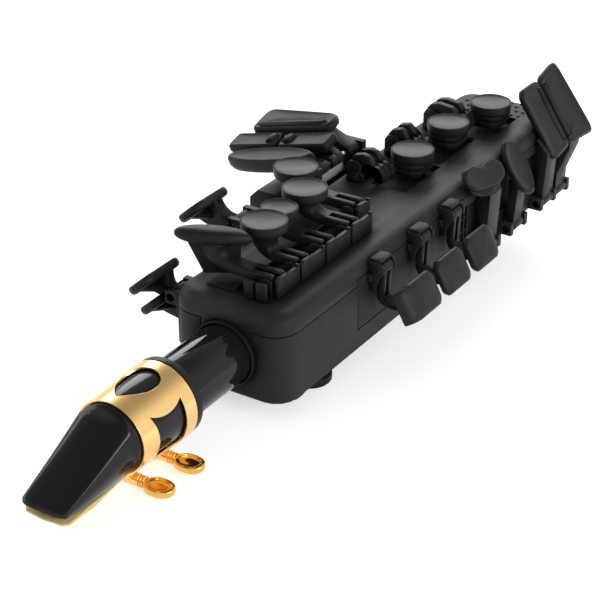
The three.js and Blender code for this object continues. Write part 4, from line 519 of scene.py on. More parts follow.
def finished(name, shape, material, body, stands_for=()):
    """Turns a bmesh into a piece that rides on a body and stands for nodes."""
    bmesh.ops.recalc_face_normals(shape, faces=shape.faces)
    for face in shape.faces:
        face.smooth = True
    for edge in shape.edges:
        edge.smooth = len(edge.link_faces) == 2 and edge.calc_face_angle(0) < SHARP_ANGLE
    mesh = bpy.data.meshes.new(name)
    shape.to_mesh(mesh)
    shape.free()
    piece = bpy.data.objects.new(name, mesh)
    bpy.context.scene.collection.objects.link(piece)
    mesh.materials.append(finish(material))
    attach(piece, body)
    if stands_for:
        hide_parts(*stands_for)
    return piece


def node_shape(node):
    """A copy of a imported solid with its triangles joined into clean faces."""
    shape = bmesh.new()
    shape.from_mesh(frame["nodes"][node].data)
    bmesh.ops.remove_doubles(shape, verts=shape.verts, dist=0.02 * MM)
    bmesh.ops.dissolve_limit(
        shape, angle_limit=math.radians(1), verts=shape.verts, edges=shape.edges
    )
    return shape


def soften(shape, width):
    """Bevels the hard edges that are long enough to take it."""
    hard = [
        edge
        for edge in shape.edges
        if len(edge.link_faces) == 2
        and edge.calc_face_angle(0) > SHARP_ANGLE
        and edge.calc_length() > 2.4 * width
    ]
    bmesh.ops.bevel(
        shape, geom=hard, offset=width, offset_type="OFFSET", affect="EDGES",
        segments=2, profile=0.5, material=-1, clamp_overlap=True, loop_slide=True,
    )


def merged(first, *others):
    """Several forms as one."""
    for other in others:
        spare = bpy.data.meshes.new("spare")
        other.to_mesh(spare)
        other.free()
        first.from_mesh(spare)
        bpy.data.meshes.remove(spare)
    return first


def key_piece(name, forms, body, nodes=(), material="key plastic"):
    """Forms joined into one piece on a body, in key plastic unless another material is given."""
    return finished(name, merged(*forms), material, body, nodes)


def pearl_place(name):
    """A round touch in millimetres: x from the body's front face, y, top and radius."""
    low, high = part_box("pearl_" + name)
    x, y = ((low.x + high.x) / 2 - BODY_FRONT) / MM, (low.y + high.y) / 2 / MM
    return x, y, high.z / MM, (high.x - low.x) / 2 / MM


def dress(node, material, width=None):
    """A moulded node with softened edges in place of its faceted solid."""
    shape = node_shape(node)
    if width:
        soften(shape, width)
    body = frame["nodes"][node]["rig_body"]
    return finished(node + "_moulding", shape, material, body, [node])


def turned(profile, centre, axis="X", steps=96):
    """A lathe form: the profile is [radius, place along the axis] pairs, in metres."""
    shape = bmesh.new()
    along = {"X": Vector((1, 0, 0)), "Y": Vector((0, 1, 0)), "Z": Vector((0, 0, 1))}[axis]
    out = {"X": Vector((0, 0, 1)), "Y": Vector((0, 0, 1)), "Z": Vector((1, 0, 0))}[axis]
    verts = [shape.verts.new(centre + along * place + out * radius) for radius, place in profile]
    edges = [shape.edges.new(pair) for pair in zip(verts, verts[1:])]
    bmesh.ops.spin(
        shape, geom=[*verts, *edges], cent=centre, axis=along, angle=FULL_TURN, steps=steps,
        use_merge=True, use_duplicate=False,
    )
    bmesh.ops.remove_doubles(shape, verts=shape.verts, dist=0.001 * MM)
    return shape


def rounded_profile(points, radius, steps=4):
    """The same profile with each inner corner turned into an arc."""
    made = [points[0]]
    for before, corner, after in zip(points, points[1:], points[2:]):
        here = Vector(corner)
        back = Vector(before) - here
        ahead = Vector(after) - here
        reach = min(radius, back.length * 0.45, ahead.length * 0.45)
        start = here + back.normalized() * reach
        stop = here + ahead.normalized() * reach
        for step in range(steps + 1):
            share = step / steps
            made.append(tuple(start.lerp(here, share).lerp(here.lerp(stop, share), share)))
    made.append(points[-1])
    return made


def lathe(points, centre, edge, axis="X", steps=96):
    """A lathe form: [radius, place along the axis] pairs in millimetres, with rounded corners."""
    profile = [(radius * MM, place * MM) for radius, place in points]
    return turned(rounded_profile(profile, edge * MM), centre, axis, steps)


def key_barrel(radius, half, centre):
    """The round bar of a key that its pin goes through."""
    return lathe([(0, -half), (radius, -half), (radius, half), (0, half)], centre, 0.3, "X", 40)


def squared(value, power):
    """A sine or cosine pulled towards its limits, for a section between round and square."""
    return math.copysign(abs(value) ** power, value)


def leaning(lean):
    """The directions up and out of a face that is turned about x by an angle."""
    return Vector((0, math.cos(lean), math.sin(lean))), Vector((0, -math.sin(lean), math.cos(lean)))


def skinned(sections):
    """A closed tube through rings of points, made by extruding one ring again and again."""
    shape = bmesh.new()
    ring = bmesh.ops.create_circle(shape, segments=len(sections[0]), radius=1.0)["verts"]
    edges = list(shape.edges)
    for vert, point in zip(ring, sections[0]):
        vert.co = point
    shape.faces.new(ring)
    for section in sections[1:]:
        grown = bmesh.ops.extrude_edge_only(shape, edges=edges)["geom"]
        fresh = {v for v in grown if isinstance(v, bmesh.types.BMVert)}
        next_ring = []
        for vert in ring:
            next_ring.append(
                next(e.other_vert(vert) for e in vert.link_edges if e.other_vert(vert) in fresh)
            )
        edges = [
            e for e in grown
            if isinstance(e, bmesh.types.BMEdge) and all(v in fresh for v in e.verts)
        ]
        ring = next_ring
        for vert, point in zip(ring, section):
            vert.co = point
    shape.faces.new(ring)
    return shape


# Where the two measures of an outline and its height go on x, y and z
PLACINGS = {
    "X": lambda u, v, w: (w, u, v),
    "Y": lambda u, v, w: (u, w, v),
    "Z": lambda u, v, w: (u, v, w),
}


def slab(points, axis, low, high, edge=0.25):
    """A plate: an outline in millimetres pushed from low to high along an axis, edges rounded."""
    shape = bmesh.new()
    place = PLACINGS[axis]
    ring = [shape.verts.new(body_point(*place(u, v, low))) for u, v in points]
    shape.faces.new(ring)
    grown = bmesh.ops.extrude_face_region(shape, geom=shape.faces[:])["geom"]
    moved = [item for item in grown if isinstance(item, bmesh.types.BMVert)]
    bmesh.ops.translate(shape, verts=moved, vec=Vector(place(0, 0, (high - low) * MM)))
    if edge:
        soften(shape, edge * MM)
    return shape


def box_outline(u0, u1, v0, v1):
    """Corners of a rectangle."""
    return [(u0, v0), (u1, v0), (u1, v1), (u0, v1)]


def both_sides(outline, x, inner, outer, edge):
    """The same plate on both sides of a place on x."""
    return [
        slab(outline, "X", *sorted((x + sign * inner, x + sign * outer)), edge) for sign in (-1, 1)
    ]


def pin_ends(x, inner, width, y, z):
    """The round heads of a pin on both sides of a key."""
    ends = []
    for sign in (-1, 1):
        head = [(0, 0), (1.2 * MM, 0), (1.2 * MM, sign * width * MM), (0, sign * width * MM)]
        ends.append(turned(head, body_point(x + sign * inner, y, z), "X", 24))
    return ends


def swept(stations, count=32):
    """A bar that bends in the y-z plane: each station is a point, the direction's angle, the half
    width along x, the half thickness and how square the section is (1 round, less is squarer)."""
    sections = []
    for (x, y, z), turn, wide, thick, square in stations:
        rise = Vector((0, -math.sin(turn), math.cos(turn)))
        section = []
        for i in range(count):
            angle = FULL_TURN * (i + 0.5) / count
            across = squared(math.cos(angle), square) * wide
            up = squared(math.sin(angle), square) * thick
            section.append(body_point(x + across, y, z) + rise * up * MM)
        sections.append(section)
    return skinned(sections)


def horn(start, stop, foot, head, bulge=0.0):
    """A bar that leaves start level and rises into stop; foot and head are its half sizes there."""
    reach, climb = stop[1] - start[1], stop[2] - start[2]
    flat, steep = 0.72 * reach, 0.6 * climb
    steps = 18
    stations = []
    for i in range(steps + 1):
        t = i / steps
        ease = t * t * (3 - 2 * t)
        y = start[1] + 3 * (1 - t) ** 2 * t * flat + 3 * (1 - t) * t * t * reach + t**3 * reach
        z = start[2] + 3 * (1 - t) * t * t * (climb - steep) + t**3 * climb
        dy = 3 * (1 - t) ** 2 * flat + 6 * (1 - t) * t * (reach - flat)
        dz = 6 * (1 - t) * t * (climb - steep) + 3 * t * t * steep
        wide = foot[0] + (head[0] - foot[0]) * t**2.2 + bulge * math.sin(math.pi * t)
        thick = foot[1] + (head[1] - foot[1]) * t**2.2
        x = start[0] + (stop[0] - start[0]) * ease
        stations.append(((x, y, z), math.atan2(dz, dy), wide, thick, 0.45 + 0.45 * ease))
    return swept(stations)


def leaning_plate(centre, outline, lean, rims):
    """A plate that faces out and up: its outline in its own plane, and the share and height of
    each ring from the middle of the underside over the rim to the middle of the top."""
    up, out = leaning(lean)
    smooth = []
    for i in range(len(outline)):
        a, b, c, d = (Vector(outline[(i + k) % len(outline)]) for k in (-1, 0, 1, 2))
        square, cube = 2 * a - 5 * b + 4 * c - d, 3 * b - a - 3 * c + d
        for step in range(5):
            t = step / 5
            smooth.append(0.5 * (2 * b + (c - a) * t + square * t**2 + cube * t**3))
    middle = sum(smooth, Vector((0, 0))) / len(smooth)
    sections = []
    for share, height in rims:
        section = []
        for point in smooth:
            p = middle + (point - middle) * share
            local = Vector((p.x, 0, 0)) + up * p.y + out * height
            section.append(body_point(*centre) + local * MM)
        sections.append(section)
    return skinned(sections)


def rounded_outline(length, width, radius, steps=5):
    """Corner points of a rounded rectangle round its own middle."""
    made = []
    for turn in range(4):
        u = (length / 2 - radius) * (1 if turn in (0, 3) else -1)
        v = (width / 2 - radius) * (1 if turn in (0, 1) else -1)
        for step in range(steps + 1):
            angle = math.pi / 2 * (turn + step / steps)
            made.append((u + radius * math.cos(angle), v + radius * math.sin(angle)))
    return made


def prongs(x, start, stop, z, half=3.2, gap=0.85, thick=1.6):
    """The forked end of an arm, with the slot between its two prongs."""
    forms = []
    middle, wide = (half + gap) / 2, (half - gap) / 2
    for sign in (-1, 1):
        stations = [
            ((x + sign * middle, y, z), 0.0, wide * share, thick * share, 0.4)
            for y, share in ((start, 0.55), (start + 0.25, 0.85), (start + 0.7, 1), (stop + 0.4, 1))
        ]
        forms.append(swept(stations, 24))
    return forms


# Pieces


def controller_panel_rows():
    """The operators in the order that they run, with their labels."""
    return [
        ("controller.body", "Body"),
        ("controller.keys", "Keys"),
        ("controller.touches", "Round touches"),
        ("controller.palm_keys", "Palm keys"),
        ("controller.left_hand", "Left-hand keys"),
        ("controller.right_hand", "Right-hand keys"),
        ("controller.side_panel", "Side panel"),
        ("controller.mouthpiece", "Mouthpiece"),
        ("controller.reed", "Reed"),
        ("controller.ligature", "Ligature"),
        ("controller.inside", "Inside"),
        ("controller.stage", "Stage"),
    ]


# Nodes that keep their own form, with softened edges
SHELL_NODES = ["top_shell", "bottom_shell"]
SUPPORT_NODES = ["table_key_block", "palm_key_bracket", "thumb_rest", "thumb_hook"]
METAL_NODES = ["table_rod", "strap_ring", "usb_socket"]
KEY_NODES = [
    "alternate_f_sharp_key", "low_e_flat_key", "low_c_key", "g_sharp_key", "c_sharp_key",
    "low_b_key", "low_b_flat_key", "octave_key", "roller_e_flat", "roller_c",
    "table_roller_outer", "table_roller_inner", "table_roller_back",
]
PEARLS = ["b", "bis", "a", "g", "f", "e", "d"]


class CONTROLLER_OT_body(bpy.types.Operator):
    """Shells, supports and metal fittings of the body"""

    bl_idname = "controller.body"
    bl_label = "Body"

    def execute(self, context):
        width = context.scene.controller_finish.edge_radius
        for node in SHELL_NODES:
            dress(node, "shell plastic", width)
        for node in SUPPORT_NODES:
            dress(node, "key plastic", width)
        for node in METAL_NODES:
            dress(node, "nickel", width)
        return {"FINISHED"}


class CONTROLLER_OT_keys(bpy.types.Operator):
    """Keys and rollers"""

    bl_idname = "controller.keys"
    bl_label = "Keys"

    def execute(self, context):
        width = context.scene.controller_finish.edge_radius
        for node in KEY_NODES:
            dress(node, "key plastic", width)
        return {"FINISHED"}


class CONTROLLER_OT_touches(bpy.types.Operator):
    """Round touches: a cup with a rounded wall and a dished pearl in it"""

    bl_idname = "controller.touches"
    bl_label = "Round touches"

    def execute(self, context):
        sizes = context.scene.controller_touches
        for name in PEARLS:
            low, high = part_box("pearl_" + name)
            middle = Vector(((low.x + high.x) / 2, (low.y + high.y) / 2, 0))
            pearl = (high.x - low.x) / 2 + 0.7 * MM
            outer = (high.x - low.x) / 2 + 1.05 * MM
            top = high.z
            foot = top - 3.6 * MM
            rim = outer - sizes.rim_width
            cup = rounded_profile(
                [
                    (0, foot - 0.02 * MM),
                    (outer - 0.4 * MM, foot - 0.02 * MM),
                    (outer + 0.03 * MM, foot + 1.0 * MM),
                    (outer + 0.03 * MM, top + 0.02 * MM),
                    (rim, top + 0.02 * MM),
                    (rim, top - 0.5 * MM),
                ],
                0.7 * MM,
            )
            body = name + "_key"
            finished("cup_" + name, turned(cup, middle, "Z"), "key plastic", body, [])
            dish = [
                (pearl * share, top - 0.12 * MM - sizes.dish_depth * (1 - share * share))
                for share in [i / 10 for i in range(11)]
            ]
            edge = [(rim - 0.03 * MM, top - 0.18 * MM), (rim - 0.03 * MM, top - 0.9 * MM)]
            profile = dish[:-1] + [(rim - 0.25 * MM, top - 0.06 * MM)] + edge
            finished(
                "touch_" + name, turned(profile, middle, "Z"), "pearl plastic", body,
                ["pearl_" + name],
            )
        return {"FINISHED"}


# Palm keys: the middle of the touch, and the pivot's x and z
PALM_KEYS = {
    "palm_d": ((10.66, 35.0, 26.4), (13.42, 22.6)),
    "palm_e_flat": ((15.5, 34.5, 17.0), (23.0, 12.6)),
    "palm_f": ((38.59, 35.0, 40.6), (47.97, 34.0)),
}
PALM_PIVOT_Y = 26.6
PALM_LEAN = math.radians(-42)
PALM_RIMS = [
    (0.05, -1.5), (0.5, -1.5), (0.86, -1.45), (0.95, -1.2), (1, -0.6), (1.015, 0.1), (1.01, 0.8),
    (0.985, 1.35), (0.94, 1.6), (0.88, 1.55), (0.8, 1.25), (0.6, 0.75), (0.3, 0.4), (0.05, 0.35),
]


class CONTROLLER_OT_palm_keys(bpy.types.Operator):
    """Dished palm touches, each on a web that fans out from its arm"""

    bl_idname = "controller.palm_keys"
    bl_label = "Palm keys"

    def execute(self, context):
        up, out = leaning(PALM_LEAN)
        outline = rounded_outline(20.6, 11.6, 5.2)
        for name, (centre, (pivot_x, pivot_z)) in PALM_KEYS.items():
            root = Vector(centre) - out * 1.2
            foot = Vector((pivot_x, PALM_PIVOT_Y, pivot_z))
            knee = foot.lerp(root, 0.45) - out * 1.5
            sides = ([], [])
            stations = []
            for i in range(17):
                t = i / 16
                place = foot * (1 - t) ** 2 + knee * 2 * t * (1 - t) + root * t**2
                along = (knee - foot) * 2 * (1 - t) + (root - knee) * 2 * t
                across = Vector((0, along.z, -along.y)).normalized().lerp(up, t**2).normalized()
                half = 2.2 + 3.2 * t**1.8
                sides[0].append(tuple(place + across * half)[1:])
                sides[1].append(tuple(place - across * half)[1:])
                turn = math.atan2(along.z, along.y)
                stations.append((tuple(place), turn, 1.5 + 7.4 * t**2.4, 1.1, 0.4))
            forms = [
                leaning_plate(centre, outline, PALM_LEAN, PALM_RIMS),
                slab(sides[0] + sides[1][::-1], "X", centre[0] - 0.8, centre[0] + 0.8, 0.3),
                swept(stations),
                key_barrel(1.9, 3.5, body_point(*foot)),
            ]
            key_piece(name + "_touch", forms, name + "_key", [name + "_key"])
        return {"FINISHED"}


# Left-hand keys: the pivot's x and y
LEFT_PIVOTS = {
    "front_f": (14.706, -8.066), "b": (28.524, -8.066), "bis": (43.428, -8.066),
    "a": (59.102, -8.066), "g": (72.505, -2.18),
}
LEFT_ARM_LIFT = 36.7
LEFT_ARM_REACH = 6.6
RAIL_FOOT, RAIL_TOP = 31.25, 37.3


def rail_wall(start, end, outside):
    """One stepped segment of the rail: a tab that stands proud, then a lower sill."""
    inside = outside + 1.9
    plan = [
        (start + 4.8, outside + 0.25), (end, outside + 0.7), (end, inside), (start + 4.8, inside),
    ]
    tab = [
        (start, RAIL_FOOT), (start + 5.2, RAIL_FOOT), (start + 5.2, 38.3), (start + 1.2, 38.3),
        (start, 37.2),
    ]
    panel = box_outline(start + 5.9, end - 0.8, 32.6, 36.2)
    post = box_outline(end - 0.9, end, RAIL_FOOT, 37.9)
    return [
        slab(plan, "Z", RAIL_FOOT, RAIL_TOP, 0.2),
        slab(tab, "Y", outside, outside + 1.3),
        slab(panel, "Y", outside + 0.35, outside + 1.2, 0.2),
        slab(post, "Y", outside + 0.5, inside, 0.15),
    ]


def front_touch():
    """The front F key: a pebble-shaped touch on a web and a forked arm."""
    x, y = LEFT_PIVOTS["front_f"]
    middle_x, middle_y, top = 12.83, 12.75, 49.0
    turn, tilt = math.radians(-58), math.tan(math.radians(5))
    bar = y + LEFT_ARM_REACH
    head = (middle_x, middle_y, top - 4.2)
    arm = horn((x, bar, LEFT_ARM_LIFT), head, (3.2, 1.7), (2.5, 8.0), bulge=0.3)
    rings = []
    for i in range(25):
        angle = math.pi * (i / 24)
        share = max(0.03, math.sin(angle) ** 0.62)
        drop = 2.7 + 2.65 * squared(-math.cos(angle), 0.85)
        ring = []
        for k in range(72):
            around = FULL_TURN * k / 72
            along = 12.3 * share * math.cos(around)
            across = 4.1 * share * math.sin(around)
            point = (
                middle_x + along * math.cos(turn) - across * math.sin(turn),
                middle_y + along * math.sin(turn) + across * math.cos(turn),
                top - drop - along * tilt,
            )
            ring.append(body_point(*point))
        rings.append(ring)
    web = slab([(-8.4, 45), (-3.2, 33.4), (8.2, 33.4), (8.8, 45)], "Y", -0.9, 0.9, 0.3)
    swing = Matrix.Rotation(turn, 3, "Z")
    bmesh.ops.rotate(web, verts=web.verts, cent=Vector((BODY_FRONT, 0, 0)), matrix=swing)
    bmesh.ops.translate(web, verts=web.verts, vec=Vector((middle_x, middle_y, 0)) * MM)
    forms = [arm, web, skinned(rings), *prongs(x, y - 2, bar, LEFT_ARM_LIFT + 0.1)]
    key_piece("front_touch", forms, "front_f_key", ["front_f_key"])


def rail():
    """Walls, floor, ribs and springs of the left-hand rail."""
    row = [LEFT_PIVOTS[name][0] for name in ("front_f", "b", "bis", "a")]
    walls = []
    for start, after in zip(row, row[1:] + [row[-1] + 13.6]):
        walls += rail_wall(start - 3.6, after - 3.9, -12.4)
    x, y = LEFT_PIVOTS["g"]
    walls += rail_wall(x - 3.9, x + 5.0, y - 4.3)
    for near, far in ((-10.4, -6.8), (-5.8, -2.2)):
        walls.append(slab(box_outline(7.2, 8.7, near, far), "Z", RAIL_FOOT, RAIL_TOP))
    walls.append(slab(box_outline(8.6, 72, 1.6, 2.5), "Z", RAIL_FOOT, 32.9, 0.2))
    floor = [
        slab(box_outline(8.4, 68, -11.2, 12.6), "Z", 31.1, 31.5, 0.1),
        slab(box_outline(67, 77, -5.2, 15.4), "Z", 31.1, 31.5, 0.1),
    ]
    for x, y in LEFT_PIVOTS.values():
        cheek = [
            (y - 2.4, RAIL_FOOT), (y + 3.2, RAIL_FOOT), (y + 3.0, 34.6), (y + 1.6, 37.2),
            (y - 0.4, 37.6), (y - 2.4, 37.0),
        ]
        walls += both_sides(cheek, x, 3.4, 4.4, 0.2)
        for turns in range(5):
            wire = [(0.9, turns - 2.3), (1.7, turns - 2.05), (0.9, turns - 1.8)]
            wire = [(radius * MM, place * MM) for radius, place in wire]
            floor.append(turned(wire, body_point(x, y, 34.4), "X", 20))
        for k in range(2):
            rib = box_outline(x + 5.4 + 1.5 * k, x + 6.0 + 1.5 * k, y + 0.2, y + 8.6)
            floor.append(slab(rib, "Z", 31.5, 33.2, 0.12))
    key_piece("rail_walls", walls, "body", ["left_hand_rail"])
    # Floor, ribs and springs coloured darker as painted shade inside the rail
    key_piece("rail_floor", floor, "body", material="dark plastic and painted shade")


class CONTROLLER_OT_left_hand(bpy.types.Operator):
    """Left-hand keys: forked arms that rise into the cups, the front touch and the rail"""

    bl_idname = "controller.left_hand"
    bl_label = "Left-hand keys"

    def execute(self, context):
        for name in ("b", "bis", "a", "g"):
            x, y = LEFT_PIVOTS[name]
            cup_x, cup_y, top, radius = pearl_place(name)
            bar = y + LEFT_ARM_REACH
            head = (radius * 0.86, radius * 0.86)
            arm = horn((x, bar, LEFT_ARM_LIFT), (cup_x, cup_y, top - 3.3), (3.2, 1.7), head)
            forms = [arm, *prongs(x, y - 2, bar, LEFT_ARM_LIFT + 0.1)]
            key_piece(name + "_arm", forms, name + "_key", [name + "_key"])
        front_touch()
        rail()
        return {"FINISHED"}


# Right-hand keys: x of the arm, and the pivot's y and z
RIGHT_ARMS = {"f": 104.42, "e": 130.68, "d": 159.3}
RIGHT_PIVOT = (13.73, 36.4)


def cup_foot(x, y):
    """Faceted block under a right-hand cup: eight-sided tiers with a groove between them."""
    tiers = []
    for along, across, corner, low, high, edge in (
        (7.2, 6.3, 3.0, 34.5, 36.2, 0.35), (6.4, 5.5, 2.6, 33.6, 34.6, 0),
        (7.0, 6.1, 2.6, 32.2, 33.9, 0.3), (6.3, 5.4, 2.2, 31.2, 32.4, 0.2),
    ):
        outline = [
            (x - along + corner, y - across), (x + along - corner, y - across),
            (x + along, y - across + corner), (x + along, y + across - corner),
            (x + along - corner, y + across), (x - along + corner, y + across),
            (x - along, y + across - corner), (x - along, y - across + corner),
        ]
        tiers.append(slab(outline, "Z", low, high, edge))
    return tiers


def arch(foot, rise):
    """Outline of one rib of a right-hand arm, from the hinge over to the foot of its cup."""
    return [
        (16.0, 35.4), (16.0, 38.2 + rise), (14.4, 40.3 + rise), (11.0, 41.1 + rise),
        (foot + 2.4, 40.4 + rise), (foot + 0.5, 38.2 + rise * 2), (foot - 0.2, 35.2),
        (foot - 0.6, 31.9), (foot - 3.4, 31.9), (foot - 3.0, 35.0), (foot - 1.6, 37.2),
        (foot + 2.6, 37.6), (10.4, 37.4), (11.4, 35.4),
    ]


def hinge_clip(x):
    """The clip on the body that holds the pin of a right-hand key."""
    cheek = [
        (16.6, 31.4), (16.6, 36.6), (15.4, 38.5), (12.2, 38.6), (11.0, 37.2), (11.0, 34.2),
        (9.8, 33.4), (9.8, 31.4),
    ]
    return [
        slab(box_outline(x - 5.9, x + 5.9, 10.9, 16.6), "Z", 31.2, 32.6, 0.2),
        slab(box_outline(x - 6.9, x + 6.9, 12.2, 15.4), "Z", 31.0, 33.4, 0.3),
        *both_sides(cheek, x, 4.35, 5.6, 0.2),
        *pin_ends(x, 4.2, 1.9, *RIGHT_PIVOT),
        *both_sides(box_outline(11.6, 14.6, 31.4, 34.6), x, 5.4, 6.6, 0.2),
    ]


class CONTROLLER_OT_right_hand(bpy.types.Operator):
    """Right-hand keys: arched arms with a groove, faceted feet, hinge clips and the low B web"""

    bl_idname = "controller.right_hand"
    bl_label = "Right-hand keys"

    def execute(self, context):
        for name, x in RIGHT_ARMS.items():
            cup_x, cup_y, _, _ = pearl_place(name)
            foot = cup_y + 6.0
            key = name + "_key"
            # Feet under the cups coloured darker as painted shade
            key_piece(name + "_foot", cup_foot(cup_x, cup_y), key, material="dark plastic and painted shade")
            forms = [
                slab(arch(foot, rise), "X", x + near, x + far, 0.2)
                for near, far, rise in ((-4, -1.5, 0), (-1.6, 1.4, -1.3), (1.3, 4, 0))
            ]
            reach = box_outline(x - 3.6, cup_x, foot - 3.6, foot - 0.9)
            forms.append(slab(reach, "Z", 32.2, 34.8, 0.3))
            key_piece(name + "_arch", forms, key, [key])
            key_piece("clip_" + name, hinge_clip(x), "body", ["hinge_clip_" + name])
        web = [(22.5, 40.6), (32, 40.2), (32, 37.6), (29, 36.6), (24.6, 36.6), (22.5, 38.6)]
        key_piece("low_b_web", [slab(web, "X", 96.8, 98.2)], "low_b_key")
        return {"FINISHED"}


# Side keys: x of the hinge and of the middle of the pad
SIDE_KEYS = {"side_e": (54.48, 57.05), "side_c": (79.75, 77.18), "side_b_flat": (101.66, 97.32)}
SIDE_PIVOT = (-25.0, 27.6)
PAD_MIDDLE = (-39.2, 20)
PAD_LEAN = math.radians(62)
PAD_RIMS = [
    (0.05, -2.8), (0.5, -2.8), (0.9, -2.7), (0.97, -2.3), (1, -1.6), (1, -1.1), (0.985, -0.6),
    (0.95, -0.22), (0.88, 0.02), (0.75, 0.2), (0.5, 0.38), (0.25, 0.47), (0.05, 0.5),
]
# The kidney plate's middle, lean, rings and outline
KIDNEY_MIDDLE = (126.31, -25.4, 32.4)
KIDNEY_LEAN = math.radians(56)
KIDNEY_RIMS = [
    (0.05, -2.6), (0.5, -2.6), (0.9, -2.55), (0.965, -2.2), (1, -1.7), (1, -0.8), (0.985, -0.3),
    (0.95, -0.05), (0.9, 0), (0.84, -0.1), (0.7, -0.28), (0.4, -0.42), (0.05, -0.5),
]
KIDNEY = [
    (-12.2, 5.2), (-9.9, 6.1), (-6.5, 5.8), (-3.7, 4.3), (-0.6, 3.9), (2.7, 4.2), (6.4, 3.8),
    (9.3, 2.4), (10.8, 0.4), (10.7, -2.1), (9.1, -3.8), (5.9, -4.7), (1.3, -4.5), (-4.2, -3.6),
    (-9.3, -2.4), (-12.2, -0.1), (-13.4, 2.3),
]
WALL_BACK = -19.7


def panel_hinges():
    """The panel in the right wall, with a hinge for each side key."""
    forms = [
        slab(box_outline(43.95, 112.6, 8.05, 26.35), "Y", -21.85, WALL_BACK),
        slab(box_outline(112.4, 185.5, 22.6, 26.35), "Y", -21.85, WALL_BACK),
        slab(box_outline(112.4, 166, 8.05, 9.6), "Y", -21.8, WALL_BACK, 0.2),
    ]
    cheek = [
        (-21.5, 19.6), (-21.5, 30.2), (-25.6, 30.2), (-27.2, 29.0), (-27.2, 26.6),
        (-25.9, 25.2), (-24.6, 22.4), (-24.2, 19.6),
    ]
    lug = [(-21.5, 23.2), (-21.5, 26.4), (-23.4, 26.0), (-23.4, 23.8)]
    cap = [(-21.5, 29.6), (-21.5, 31.1), (-24.6, 31.2), (-26.0, 30.7), (-26.0, 30.2), (-22.4, 30.1)]
    for x, _ in SIDE_KEYS.values():
        forms += both_sides(cheek, x, 3.15, 4.2, 0.25)
        forms += both_sides(lug, x, 4.1, 5.6, 0.2)
        forms += pin_ends(x, 3.0, 1.75, *SIDE_PIVOT)
        forms.append(slab(cap, "X", x - 3.4, x + 3.4, 0.3))
    finished("panel_hinges", merged(*forms), "shell plastic", "body", ["side_key_panel"])


def lever_cage():
    """The ribbed cage in the wall behind the long levers, coloured darker as painted shade."""
    forms = [slab(box_outline(112.5, 185.4, 8.1, 24), "Y", -20.6, WALL_BACK, 0.1)]
    for x in (113.4, 115.9, 118.4, 132.4, 135.0, 137.6, 140.2, 142.8, 156.8, 159.4, 162.0, 164.6):
        forms.append(slab(box_outline(x, x + 0.9, 8.4, 23.6), "Y", -21.6, -20.4, 0.15))
    for z in (12.6, 17.4):
        for near, far in ((113, 119.6), (132, 144), (156.4, 165.8)):
            forms.append(slab(box_outline(near, far, z, z + 0.9), "Y", -21.3, -20.4, 0.15))
    finished("lever_cage", merged(*forms), "dark plastic and painted shade", "body", [])


def side_key(name, x, pad_x):
    """A side key: rounded pad, slotted arm, barrel and the saddle between them."""
    pad = rounded_outline(17, 12.4, 3)
    bar = [
        (-23.6, 29.4), (-26.0, 29.6), (-26.9, 28.4), (-26.6, 24), (-26.2, 16.4), (-23.9, 16.4),
        (-23.9, 26),
    ]
    stations = []
    for i in range(17):
        t = i / 16
        angle = math.radians(-90 - 78 * min(1, t * 1.25))
        turn = math.radians(90) * min(1, t * 1.5)
        y = -25.1 - 11.6 * (1 - math.cos(turn)) * 0.72 - 3.4 * t**2
        z = 17.2 - 4.4 * math.sin(turn) + 5.4 * t**2
        place = (x + (pad_x - x) * t**1.5, y, z)
        stations.append((place, angle, 2.7 + 3.3 * t**2, 1.25, 0.5))
    forms = [
        leaning_plate((pad_x, *PAD_MIDDLE), pad, PAD_LEAN, PAD_RIMS),
        *both_sides(bar, x, 0.75, 2.6, 0.35),
        key_barrel(2.0, 2.7, body_point(x, *SIDE_PIVOT)),
        swept(stations),
    ]
    key_piece(name + "_pad", forms, name + "_key", [name + "_key"])


def kidney_lever(width):
    """The high F sharp lever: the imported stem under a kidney-shaped plate."""
    _, out = leaning(KIDNEY_LEAN)
    stem = node_shape("high_f_sharp_key")
    below = body_point(*KIDNEY_MIDDLE) - out * 2.3 * MM
    bmesh.ops.bisect_plane(
        stem, geom=[*stem.verts, *stem.edges, *stem.faces], plane_co=below, plane_no=out,
        clear_outer=True,
    )
    rim = [edge for edge in stem.edges if len(edge.link_faces) == 1]
    bmesh.ops.holes_fill(stem, edges=rim, sides=0)
    soften(stem, width)
    plate = leaning_plate(KIDNEY_MIDDLE, KIDNEY, KIDNEY_LEAN, KIDNEY_RIMS)
    key_piece("kidney_lever", [plate, stem], "high_f_sharp_key", ["high_f_sharp_key"])


def side_flange():
    """The flange beside the lowest side pad, folded back towards the body."""
    up, out = leaning(PAD_LEAN)
    sections = []
    for i in range(15):
        t = i / 14
        turn = math.radians(86) * max(0.0, t - 0.15) / 0.85
        along = -7.0 - 2.2 * t - 1.9 * math.sin(turn)
        lift = -1.25 - 2.6 * (1 - math.cos(turn))
        face = Vector((-math.sin(turn), 0, 0)) + out * math.cos(turn)
        wide, thick = 6.1 - 0.5 * t, 1.3 - 0.35 * t
        section = []
        for k in range(32):
            angle = FULL_TURN * k / 32
            v = squared(math.cos(angle), 0.4) * wide
            w = squared(math.sin(angle), 0.5) * thick
            local = Vector((along, 0, 0)) + out * lift + up * v + face * w
            section.append(body_point(SIDE_KEYS["side_e"][1], *PAD_MIDDLE) + local * MM)
        sections.append(section)
    key_piece("side_e_flange", [skinned(sections)], "side_e_key")


class CONTROLLER_OT_side_panel(bpy.types.Operator):
    """Right wall: panel with its hinges, cage behind the levers, side keys and kidney lever"""

    bl_idname = "controller.side_panel"
    bl_label = "Side panel"

    def execute(self, context):
        panel_hinges()
        lever_cage()
        for name, (x, pad_x) in SIDE_KEYS.items():
            side_key(name, x, pad_x)
        kidney_lever(context.scene.controller_finish.edge_radius)
        side_flange()
        return {"FINISHED"}


